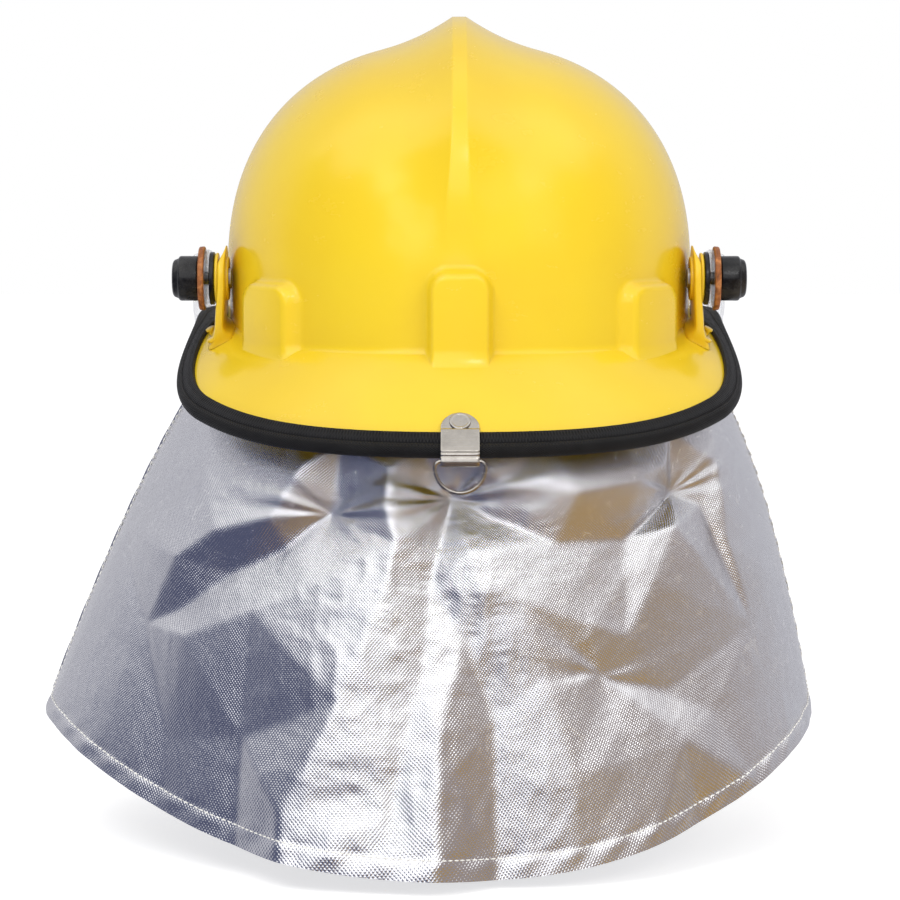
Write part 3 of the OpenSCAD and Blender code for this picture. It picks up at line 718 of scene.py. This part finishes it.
def fold_table():
    """Heights of the folds on a grid over the cape."""
    V, U = np.meshgrid(np.linspace(0, 1, 301), np.linspace(-1, 1, 481), indexing="ij")
    x, y = cloth_mm(U, V)
    lift = 1.25 * soften(facet_lift(U, V), 6)
    for u, v, _ in PINCHES:
        lift += fan(x, y, u, v, 7, 17, 0.9)
    lift += fan(x, y, star[0], star[1], 5, 26, 0.5)
    hang = smooth((V - 0.3) / 0.12)
    side = smooth((0.92 - abs(U)) / 0.2)
    broad = 0.8 * rumple(x + 900, y + 900, 38, 3) + 0.25 * rumple(x + 900, y + 900, 17, 4)
    slant, across = x * 0.83 + y * 0.56, -x * 0.56 + y * 0.83
    crush = (0.34 * crinkle(slant + 700, 0.55 * across + 700, 13, 5)
             + 0.24 * crinkle(x + 500, 0.6 * y + 500, 7, 6) + 0.12 * crinkle(x + 500, y + 500, 3.6, 7))
    middle = 0.4 + 1.1 * np.exp(-((U + 0.08) / 0.17) ** 2)
    lift += hang * side * (broad + crush * middle)
    # The hem and the side edges are turned in and sewn.
    edge = np.minimum(cloth_mm(1 - abs(U), V, cloth_half_w + hem_turn)[0], cloth_mm(U, 1 - V)[1])
    lift += 0.5 * smooth((hem_turn + 1 - edge) / 1.5) - 0.45 * np.exp(-((edge - hem_turn) / 0.9) ** 2)
    pucker = 0.35 * np.sin((x + y) / 2.2) * np.exp(-((edge - 4) / 4) ** 2)
    return lift + pucker * hang


FOLDS = fold_table()


def cape_folds(U, V):
    """The fold table read at any places."""
    rows, cols = FOLDS.shape
    fu = np.clip((U + 1) / 2 * (cols - 1), 0, cols - 1.001)
    fv = np.clip(V * (rows - 1), 0, rows - 1.001)
    i, j = np.floor(fv).astype(int), np.floor(fu).astype(int)
    return between(FOLDS, i, j, fv - i, fu - j)


def cape_surface(U, V, inset):
    """The folded cape at places U, V, a distance inside its outer face."""
    corner = smooth((abs(U) - 0.88) / 0.12)
    V = V * (1 - 0.035 * corner ** 2 * V)
    step = 1e-3
    along_u = cape_base(U + step, V) - cape_base(U - step, V)
    along_v = cape_base(U, V + step) - cape_base(U, V - step)
    rise = cape_folds(U, V) * smooth(V / 0.2) - inset
    return cape_base(U, V) + unit(np.cross(along_v, along_u)) * rise[..., None]


def cloth_sheet(name, slot, node, from_inset, thick, cols, rows, wider=0.0):
    """One cloth of the cape, from its tape inside the shell down to the hem."""
    across = np.linspace(-1 - wider, 1, cols)
    V, U = np.meshgrid(np.linspace(0.02, 1, rows), across, indexing="ij")
    a = across * cape_reach
    grids = []
    for inset in (from_inset, from_inset + thick):
        hung = cape_surface(U, V, inset)
        # A wider cloth shows past the left edge of the other one.
        hung[..., 0] -= 2.4 * (wider > 0) * smooth((-0.97 - U) / 0.03) * smooth(V / 0.3)
        top = np.array([stand_off(a, -cape_inset - inset, foot_z(a) + rise) for rise in (10.5, 7, 3.5, 0.5)])
        grids.append(np.concatenate([top, hung]))
    return make_piece(name, sheet(*grids, (0.25, 0.52)), slot, stands_for=[node], sharp=80)


def build_cape():
    outer = cloth_sheet("neck_cape", "aluminised", "cape", 0, 0.9, 401, 251)
    lining = cloth_sheet("cape_lining_cloth", "lining", "cape_lining", 1.5, 0.6, 121, 81, 0.02)
    build_stitches()


def build_stitches():
    """Rows of stitches along the turned side edges and the hem."""
    pitch, length, sides = 3.3, 2.3, 6
    girths = (0.1, 0.26, 0.34, 0.26, 0.1)
    end_u, end_v = 1 - hem_turn / cloth_half_w, 1 - hem_turn / cloth_h
    down, across = np.linspace(0.3, end_v, 400), np.linspace(-end_u, end_u, 900)
    points, faces = [], []
    for U, V in ((0 * down - end_u, down), (across, 0 * across + end_v), (0 * down + end_u, down)):
        line = cape_surface(U, V, -0.25)
        walked = lengths(line)
        for start in np.arange(0, walked[-1] - length, pitch):
            spots = [np.array([np.interp(start + t * length, walked, line[:, k]) for k in range(3)])
                     for t in (0, 0.2, 0.5, 0.8, 1)]
            ahead = unit(spots[-1] - spots[0])
            side = unit(np.cross(ahead, (0.1, 0.2, 1)))
            out = np.cross(side, ahead)
            first = len(points)
            for spot, girth in zip(spots, girths):
                points += [spot + girth * (side * math.cos(t) + out * math.sin(t))
                           for t in ring_angles(sides, 0) * RAD]
            hoops = [list(range(k, k + sides)) for k in range(first, len(points), sides)]
            for near, far in zip(hoops, hoops[1:]):
                faces += [[near[k - 1], near[k], far[k], far[k - 1]] for k in range(sides)]
            faces += [hoops[0][::-1], hoops[-1]]
    return make_piece("hem_stitches", (points, faces), "aluminised", material="thread")


def build_tapes():
    """Hook and loop strips along the inside of the shell's foot."""
    a = np.linspace(-cape_reach, cape_reach, 121)
    for name, node, near, far in (("hook_strip", "cape_hook_tape", 0.1, 1.0),
                                  ("loop_strip", "cape_loop_tape", 1.1, 2.0)):
        grids = [np.array([stand_off(a, -shell_t - off - eased_by, foot_z(a) + rise) for rise, eased_by in
                           ((10, 0.2 * sign), (9.5, 0), (5, 0), (1, 0), (0.5, 0.2 * sign))])
                 for off, sign in ((near, 1), (far, -1))]
        make_piece(name, sheet(*grids, (0.01, 0.35)), "tape", stands_for=[node], sharp=60)


# --- turned parts ---
SIDES = ((-1, "left"), (1, "right"))


def lathe(name, profile, centre, axis, slot, node=None, radius=0.35):
    """A turned piece from a closed profile of (radius, distance along the axis)."""
    line = rounded(profile, radius)
    side = unit(np.cross(axis, (0.3, 0.5, 0.81)))
    up = np.cross(axis, side)
    t = ring_angles(96, 0) * RAD
    spokes = np.cos(t)[:, None] * side + np.sin(t)[:, None] * up
    out, along = np.maximum(line[:, 0], 0), line[:, 1]
    rings = np.array(centre) + along[:, None, None] * axis + out[:, None, None] * spokes
    make_piece(name, tube(rings), slot, body_of(node) if node else "helmet", [node] if node else [], 35)


def at_pivot(side, x):
    return (side * x, pivot_y, pivot_z)


def build_pivots():
    neck = knob_r - 1.4
    friction = [(3.1, 0), (15.1, 0), (15.5, 0.5), (15.3, 2.4), (14.9, 2.85), (3.1, 2.85)]
    spacer = [(3.1, 0), (12.5, 0), (12.8, 0.4), (12.8, 1.9), (12.5, 2.3), (3.1, 2.3)]
    knob = [(0, 0.6), (8.6, 0.6), (8.9, 0), (knob_r - 0.6, 0), (knob_r, 0.6), (knob_r + 0.05, knob_l - 4.2),
            (knob_r - 0.15, knob_l - 3.5), (neck + 0.3, knob_l - 2.9), (neck, knob_l - 2.2),
            (neck - 0.5, knob_l - 0.8), (neck - 1.9, knob_l - 0.1), (neck - 3.4, knob_l),
            (neck - 3.8, knob_l - 0.45), (0, knob_l - 0.6)]
    for side, word in SIDES:
        for name, profile, x, slot, node, radius in (
                ("friction_disc_", friction, washer_x, "friction", "friction_washer_", 0.5),
                ("spacer_disc_", spacer, spacer_x, "black_plastic", "spacer_", 0.3),
                ("clamp_knob_", knob, knob_x, "black_plastic", "knob_", 0.7)):
            lathe(name + word, profile, at_pivot(side, x), (side, 0, 0), slot, node + word, radius=radius)


def build_brackets():
    """Yellow brackets: a coned plate on the pivot, an arm, and a flared foot that follows the brim."""
    base_z, half_y, top_h = 3.5, 16, 43.6
    heights = [*np.linspace(0, 12, 15), *np.linspace(13.5, 26, 8), *np.linspace(28, top_h, 16), top_h + 0.7]
    rim = ring_angles(48, 0) * RAD
    around_x, around_y = signed_power(np.cos(rim), 0.36), signed_power(np.sin(rim), 0.36)
    flange = [(5.6, 0), (10.2, 0), (10.6, 0.4), (10.6, 1.6), (5.6, 1.6)]
    cone = [(3.2, 0), (12.4, 0), (12.4, 1.1), (11.6, 1.75), (3.2, 1.75)]
    for side, word in SIDES:
        rings = []
        for h in heights:
            above = max(base_z + h - pivot_z, 0)
            flare = (1 - smooth(h / 8.5)) ** 1.5
            lean = 1.5 * smooth((26 - h) / 22)
            inner = plate_x + 0.5 * lean - 4.2 * flare
            outer = disc_x + lean + 3.4 * flare - 3.6 * smooth((above - 6) / 10)
            reach = half_y * math.sqrt(max(1 - (above / half_y) ** 2, 0.0004)) - smooth((26 - h) / 20)
            x = (outer + inner) / 2 + (outer - inner) / 2 * around_x
            y = pivot_y + (reach - 2.5 * flare) * around_y
            on_brim = -0.51 * (x - 116) + 0.28 * (y + 45)
            rings.append(np.stack([side * x, y, base_z + h + on_brim * (1 - smooth(h / 14))], -1))
        shape, out = capped(np.array(rings), rings[0].mean(0), rings[-1].mean(0)), (side, 0, 0)
        make_piece("visor_bracket_arm_" + word, shape, "bracket", "helmet", ["visor_bracket_" + word], 50)
        lathe("bracket_disc_" + word, cone, at_pivot(side, disc_x - 0.1), out, "bracket", radius=0.5)
        lathe("bracket_flange_" + word, flange, at_pivot(side, 111.4), out, "bracket", radius=0.3)


# --- hanger ---
def build_hanger():
    """Steel plate over the rear trim, arched at the top, with a rolled lower end that holds the ring."""
    corners = [(28.9, -23.6), (35.9, -30.5), (37.9, -29.95), (45, -37), (46.9, -39.4), (47.9, -43.2)]
    curl_r = 2.45
    curl = [(roll_u + curl_r * math.cos(t), roll_z + curl_r * math.sin(t))
            for t in np.linspace(20, -165, 16) * RAD]
    line = np.array(corners + curl)
    dense = []
    for start, end in zip(line, line[1:]):
        count = max(2, int(np.linalg.norm(end - start) / 0.3))
        dense += [lerp(start, end, t) for t in np.arange(count) / count]
    dense = relaxed(np.array(dense + [line[-1]]), 5)
    out = -beside(np.gradient(dense, axis=0))
    walked = lengths(dense)
    grooves = sum(-0.28 * np.exp(-((walked - (walked[-1] - back)) / 0.33) ** 2) for back in (11.6, 9.6))
    arch = np.sqrt(np.maximum(plate_half ** 2 - (plate_half - walked) ** 2, 0.3))
    half = np.where(walked < plate_half, arch, plate_half)
    across = np.sin(np.linspace(-math.pi / 2, math.pi / 2, 25))
    edge = 0.22 * abs(across) ** 24
    grids = []
    for drop in (grooves[:, None] - edge, edge - 0.95 + 0 * grooves[:, None]):
        flat = dense[:, None] + out[:, None] * drop[..., None]
        grids.append(np.stack([half[:, None] * across, -dome_half_l - flat[..., 0], flat[..., 1]], -1))
    make_piece("hanger_clip_plate", sheet(*grids, (0.03, 0.017)), "steel", "helmet", ["hanger_plate"], 45)
    head = [(0, -5), (4, -5), (4, -4.1), (2, -4.1), (2, 0.05), (4.9, 0.05), (4.9, 0.4), (4.45, 0.72),
            (3.8, 0.75), (3.5, 0.55), (0, 0.5)]
    centre, axis = (0, -dome_half_l - 32.8, -27.3), unit(np.array([0, -1.0, 1.0]))
    lathe("hanger_rivet_head", head, centre, axis, "steel", "hanger_rivet", radius=0.3)
    build_ring()


def build_ring():
    """D-ring: half a circle of wire and a straight bar through the rolled end, with rounded corners."""
    def arc(first, last, count, radius, middle=0.0, squash=1.0):
        t = np.linspace(first, last, count) * RAD
        return np.stack([middle + radius * np.cos(t), squash * radius * np.sin(t)], -1)

    bend, bar_drop = 3.2, 2.6
    path = np.concatenate([arc(180, 360, 61, ring_r), arc(0, 90, 13, bend, ring_r - bend, 0.9)[1:],
                           arc(90, 180, 13, bend, bend - ring_r, 0.9)]) - (0, bar_drop)
    hoops = closed_tube(path, ring_wire_r, 16)
    rings = np.stack([hoops[..., 0], -dome_half_l - roll_u + hoops[..., 2], roll_z + hoops[..., 1]], -1)
    make_piece("hanger_d_ring", tube(rings), "steel", "hanging_ring", ["hanger_ring"])


def closed_tube(path, radius, sides):
    """Rings round a closed flat path: the result's last axis is [x, z, depth]."""
    out = beside(np.roll(path, -1, 0) - np.roll(path, 1, 0))
    t = ring_angles(sides, 0) * RAD
    flat = path[:, None] + radius * np.cos(t)[None, :, None] * out[:, None]
    return raised(flat, radius * np.sin(t)[None, :])


# --- face shield ---
def build_visor():
    """Clear shield: one curved sheet from lug to lug, with rounded edges."""
    wide_x, ease_from, ease_to, front_y, n = 134.3, -30, 17, 170, 2 / 2.3
    start = lug_x + visor_t
    straight = [(start, y) for y in np.linspace(-58.9, ease_from, 36)]
    ease = [(lerp(start, wide_x, smooth(t)), lerp(ease_from, ease_to, t)) for t in np.linspace(0, 1, 25)[1:]]
    t = np.linspace(0, 90, 61)[1:] * RAD
    front = list(zip(wide_x * np.cos(t) ** n, ease_to + (front_y - ease_to) * np.sin(t) ** n))
    right = np.array(straight + ease + front)
    plan = np.concatenate([right, right[-2::-1] * (-1, 1)])
    out = beside(np.gradient(plan, axis=0))
    y = plan[:, 1]
    top_y, top_z = [-45, 0, 60, 115, 150, 180], [46, 43, 33, 20, 13, 13]
    low_y = [-45, -20, 8, 22, 35, 52, 82, 115, 150, 180]
    low_z = [18, 19, 18.5, 14, -2, -35, -74, -96, -104, -105]
    top = relaxed(np.interp(y, top_y, top_z), 6)
    low = relaxed(np.interp(y, low_y, low_z), 6)
    lug_r = 14
    lug = np.sqrt(np.maximum(lug_r ** 2 - np.minimum(y - pivot_y, 0) ** 2, 0.05))
    top = np.where(y < pivot_y, pivot_z + lug, top)
    low = np.where(y < pivot_y, pivot_z - lug, low)
    rows = np.concatenate([[0, 0.004], np.linspace(0.02, 0.98, 25), [0.996, 1]])[:, None]
    ease_edge = np.where((rows == 0) | (rows == 1), 0.5, 0.0)
    grids = [raised(plan - out * off[..., None], lerp(low, top, rows))
             for off in (ease_edge, visor_t - ease_edge)]
    make_piece("clear_face_shield", sheet(*grids, (0.12, 0.5)), "clear", "visor", ["visor"], sharp=60)


# --- liner and suspension ---
def build_liner():
    """Foam bowl inside the shell, with grooves cut into its inner face."""
    a = ring_angles(240, 0)
    radii = np.sin(np.linspace(0.03, math.pi / 2 - 0.09, 40))
    walls = np.linspace(dome_wall_h, 24, 5)
    gap, thick = shell_t + 1.2, 12

    def skin(inset, groove):
        spokes = groove * np.exp(-((np.mod(a + 15, 30) - 15) / 1.6) ** 2)
        rings = [crown_point(a, r, inset - spokes * smooth((r - 0.25) / 0.1)
                             - groove * math.exp(-((r - 0.62) / 0.02) ** 2), 0) for r in radii]
        return rings + [stand_off(a, -inset + spokes, z) for z in walls]

    outer, inner = skin(gap, 0.0), skin(gap + thick, 2.5)
    outer.append(stand_off(a, -gap - 1.5, 22.8))
    inner.append(stand_off(a, -gap - thick + 1.5, 22.8))
    top = dome_wall_h + crown_h - gap
    shape = capped(np.array(outer + inner[::-1]), (0, 0, top), (0, 0, top - thick))
    make_piece("foam_liner", shape, "foam", stands_for=["impact_liner"], sharp=70)


def build_headband():
    """Nylon band with a rounded rib along each edge."""
    a = ring_angles(240, 0)
    low, high, rib_t = band_low_z, band_low_z + band_h, band_t + 0.5
    section = [(0, low), (rib_t, low), (rib_t, low + 2.4), (band_t, low + 2.9), (band_t, high - 2.9),
               (rib_t, high - 2.4), (rib_t, high), (0, high)]
    rings = [raised(oval(a, band_half_w + off, band_half_l + off), z) for off, z in rounded(section, 0.5)]
    make_piece("headband_strip", tube(np.array(rings)), "band", stands_for=["headband"], sharp=50)


def cushion(name, node, body, place, length, width, thick, channels):
    """A crowned pad. place(s, t, h) gives a point at shares s and t of its plan, a height h off its back."""
    s, t = np.meshgrid(*[np.linspace(0, 1, int(side / 1.4)) for side in (length, width)], indexing="ij")
    near = np.minimum(np.minimum(s, 1 - s) * length, np.minimum(t, 1 - t) * width)
    crown = np.sqrt(np.clip(1 - (1 - np.clip(near / (0.8 * thick + 1.5), 0, 1)) ** 2, 0, 1))
    sewn = np.exp(-((np.mod(s * channels + 0.5, 1) - 0.5) * length / channels / 1.3) ** 2)
    seam = 0.35 * np.exp(-((near - 2.6) / 0.6) ** 2)
    plump = 0.82 + 0.18 * np.sin(math.pi * s) * np.sin(math.pi * t)
    puff = 0.25 * rumple(s * length + 99, t * width + 99, 9, 11)
    face = thick * crown * plump * (1 - 0.34 * sewn) - seam + puff * crown
    shape = sheet(place(s, t, np.maximum(face, 0.15)), place(s, t, 0 * s), (length * MM, width * MM))
    make_piece(name, shape, "pad", body, [node], sharp=70)


def build_pads():
    low, high = band_low_z + 2, band_low_z + band_h - 2
    for name, node, first, last, channels in (("brow_cushion", "brow_pad", 118, 242, 7),
                                              ("nape_cushion", "nape_pad", -38, 38, 4)):
        def band_place(s, t, h, first=first, last=last):
            a = lerp(first, last, s)
            inward = (0.25 + h)[..., None] * oval_normal(a, band_half_w, band_half_l)
            return raised(oval(a, band_half_w, band_half_l) - inward, lerp(low, high, t))
        cushion(name, node, "helmet", band_place, (last - first) * RAD * 88, high - low, pad_t, channels)

    pad_r, top = 30, crossing_z - strap_t - 3.3

    def crown_place(s, t, h):
        x, y = 2 * s - 1, 2 * t - 1
        grow = pad_r * np.maximum(abs(x), abs(y)) / np.maximum(np.hypot(x, y), 1e-6)
        return np.stack([x * grow, y * grow, top - 0.95 * h], -1)
    cushion("crown_cushion", "crown_pad", "helmet", crown_place, 54, 54, 4, 3)

    def chin_place(s, t, h):
        x, z = chin_line(lerp(0.37, 0.63, s))
        return np.stack([x, chin_y + 15 - 30 * t, z + 0.95 + h], -1)
    cushion("chin_cushion", "chin_pad", "chin_strap", chin_place, 66, 30, 3.8, 3)


def chin_line(t):
    """Where the strap runs under the chin, a share t of the way from right to left."""
    a, side_l = 180 * t * RAD, 55
    return strap_x * signed_power(np.cos(a), 0.85), chin_z - side_l - (chin_drop - side_l) * np.sin(a) ** 0.85


def build_crown_straps():
    """Woven straps that arch over the head, with thicker selvedges."""
    for layer, (a, node) in enumerate(((0, "crown_strap_fore_aft"), (310, "crown_strap_left_diagonal"),
                                       (50, "crown_strap_right_diagonal"))):
        foot = oval(a)
        span = np.linalg.norm(foot) - 22.4
        top = crossing_z + layer * (strap_t + 0.9)
        t = np.linspace(0, math.pi, 181)
        n = 2 / crown_n
        c, d = foot / np.linalg.norm(foot)
        turn = np.array([[c, d, 0], [-d, c, 0], [0, 0, 1]])
        across, foot_heights, start_z = np.linspace(-1, 1, 13), [8.2, 12, 17, 22], 26
        selvedge = 0.28 * (abs(across) > 0.99)
        grids = []
        for inset, up in ((0, -selvedge), (strap_t, selvedge)):
            along = (span - inset) * signed_power(np.cos(t), n)
            z = start_z + (top - inset - start_z) * np.sin(t) ** n
            along = np.pad(along, len(foot_heights), mode="edge")[:, None]
            z = np.concatenate([foot_heights, z, foot_heights[::-1]])[:, None]
            grids.append(np.stack([along + 0 * across, across * strap_w / 2 + 0 * along, z + up], -1) @ turn)
        make_piece("woven_" + node, sheet(*grids, (0.36, 0.02)), "webbing", "helmet", [node], 60)


# Screws painted over with the brackets.
PAINTED = {"bracket_screws": "bracket"}


def eased(node, width):
    """A copy of a CAD node's own solid with its edges rounded, to stand for it."""
    source = frame["nodes"][node]
    mesh = source.data.copy()
    mesh.name = node + "_eased"
    work = bmesh.new()
    work.from_mesh(mesh)
    work.transform(source.matrix_world)
    bmesh.ops.remove_doubles(work, verts=work.verts, dist=1e-6)
    bmesh.ops.dissolve_limit(work, angle_limit=1.0 * RAD, verts=work.verts, edges=work.edges)
    sharp = [e for e in work.edges if e.calc_face_angle(0) > 28 * RAD]
    bmesh.ops.bevel(work, geom=sharp, offset=width * MM, offset_type="OFFSET", segments=2, profile=0.5,
                    affect="EDGES", clamp_overlap=True)
    work.to_mesh(mesh)
    work.free()
    slot = next(p["material_slot"] for p in frame["record"]["subparts"] if p["node"] == node)
    mesh.materials.clear()
    place_piece(node + "_finished", mesh, 32, PAINTED.get(node, slot), body_of(node), [node])


EASED = {
    "suspension_clips": 0.35, "ratchet_housing": 0.7, "ratchet_knob": 0.5, "chin_anchors": 0.3,
    "buckle_socket": 0.7, "buckle_tongue": 0.5, "strap_slider": 0.4, "chin_strap_long": 0.3,
    "chin_strap_short": 0.3, "bracket_screws": 0.25, "pivot_bolt_left": 0.25, "pivot_bolt_right": 0.25,
}


# --- camera, light and floor ---
def build_camera():
    """Behind the helmet at eye height, looking down a little."""
    look_down = 5.4
    data = bpy.data.cameras.new("camera")
    data.lens = 120
    data.sensor_width = 36
    cam = add_object("camera", data)
    cam.location = (-0.0045, -1.5, 0.086)
    cam.rotation_euler = ((90 - look_down) * RAD, 0, 0)
    scene.camera = cam


def soft_light(name, place, size, power, color=(1, 1, 1), mirrored=False):
    """A wide lamp aimed at the helmet. Reflections show the room instead of it, unless mirrored."""
    data = bpy.data.lights.new(name, "AREA")
    data.shape = "RECTANGLE"
    data.size, data.size_y = size
    data.energy = power
    data.color = color
    lamp = add_object(name, data)
    lamp.location = place
    lamp.visible_glossy = mirrored
    x, y, z = place
    lamp.rotation_euler = (math.atan2(math.hypot(x, y), z), 0, math.atan2(y, x) + math.pi / 2)


def build_world():
    """A pale room: bright above and ahead of the wearer, darker behind, bluish left and warm right."""
    world = bpy.data.worlds.new("studio")
    scene.world = world
    world.use_nodes = True
    s = Nodes(world.node_tree, "Generated")

    def turn(value, low, high, a, b):
        """Tone a up to where the value is low, and b from where it is high."""
        share = s.node("MapRange", {"Value": value, "From Min": low, "From Max": high},
                       interpolation_type="SMOOTHSTEP").outputs["Result"]
        return s.blend(share, a, b)

    def wander(value, scale, detail, by):
        """The value, moved a little from place to place."""
        drift = s.maths("MULTIPLY", s.maths("SUBTRACT", s.noise(scale, detail), 0.5), by)
        return s.maths("ADD", drift, value)

    axes = s.node("SeparateXYZ", {0: s.place}).outputs
    height = wander(axes["Z"], 3.2, 2.0, 0.5)
    aside = wander(axes["X"], 5.5, 3.0, 0.45)
    underside = turn(height, -0.2, -0.04, (0.45, 0.29, 0.11), (0.33, 0.295, 0.26))
    below = turn(aside, -0.1, 0.2, (0.09, 0.10, 0.17), underside)
    room = turn(aside, -0.64, -0.52, (0.145, 0.162, 0.24), (1.5, 1.5, 1.53))
    room = turn(aside, 0.02, 0.16, room, (0.62, 0.59, 0.58))
    room = turn(aside, 0.35, 0.6, room, (0.36, 0.31, 0.30))
    room = turn(height, -0.02, 0.2, below, room)
    room = turn(height, 0.47, 0.66, room, (1.35, 1.34, 1.32))
    room = turn(axes["Y"], 0.05, 0.4, room, (0.60, 0.60, 0.64))
    room = turn(axes["Z"], 0.86, 0.97, room, (1, 1, 1))
    ray = s.node("LightPath").outputs
    room = s.blend(ray["Is Diffuse Ray"], room, s.blend(0.35, room, (0, 0, 0)))
    backdrop = s.blend(ray["Is Camera Ray"], room, (1, 1, 1))
    s.tree.links.new(backdrop, s.tree.nodes["Background"].inputs["Color"])


def build_studio():
    half, floor_z = 6.0, cad_box[0][2] - 0.004
    floor = bpy.data.meshes.new("floor")
    corners = [(x * half, y * half, floor_z) for x, y in ((-1, -1), (1, -1), (1, 1), (-1, 1))]
    floor.from_pydata(corners, [], [(0, 1, 2, 3)])
    pale = Shader("pale_floor", (0.6, 0.6, 0.6), 0.9, Emission_Color=(1, 1, 1, 1), Emission_Strength=0.66)
    floor.materials.append(pale.mat)
    obj = add_object("floor", floor)
    obj.visible_glossy = False
    soft_light("key", (-0.9, -1.5, 1.7), (1.2, 1.0), 25)
    soft_light("fill", (1.5, -1.5, 0.9), (0.9, 1.2), 16, (1, 0.98, 0.95))
    soft_light("top", (0, 0.4, 2.2), (2.4, 1.8), 7)
    soft_light("spark", (0.25, -1.7, 1.0), (0.22, 0.32), 1.6, mirrored=True)
    build_world()
    scene.view_settings.view_transform = "Standard"


def dress_cad_nodes():
    """Carried-over CAD nodes wear the detailed material of their slot."""
    for part in frame["record"]["subparts"]:
        slot = part["material_slot"]
        obj = frame["nodes"].get(part["node"])
        if obj is not None and slot in MATERIALS:
            for held in obj.material_slots:
                held.material = MATERIALS[slot]


build_camera()
dress_cad_nodes()
build_shell()
build_trim()
build_cape()
build_tapes()
build_pivots()
build_brackets()
build_hanger()
build_visor()
build_liner()
build_headband()
build_pads()
build_crown_straps()
for node_name, edge_width in EASED.items():
    eased(node_name, edge_width)
build_studio()
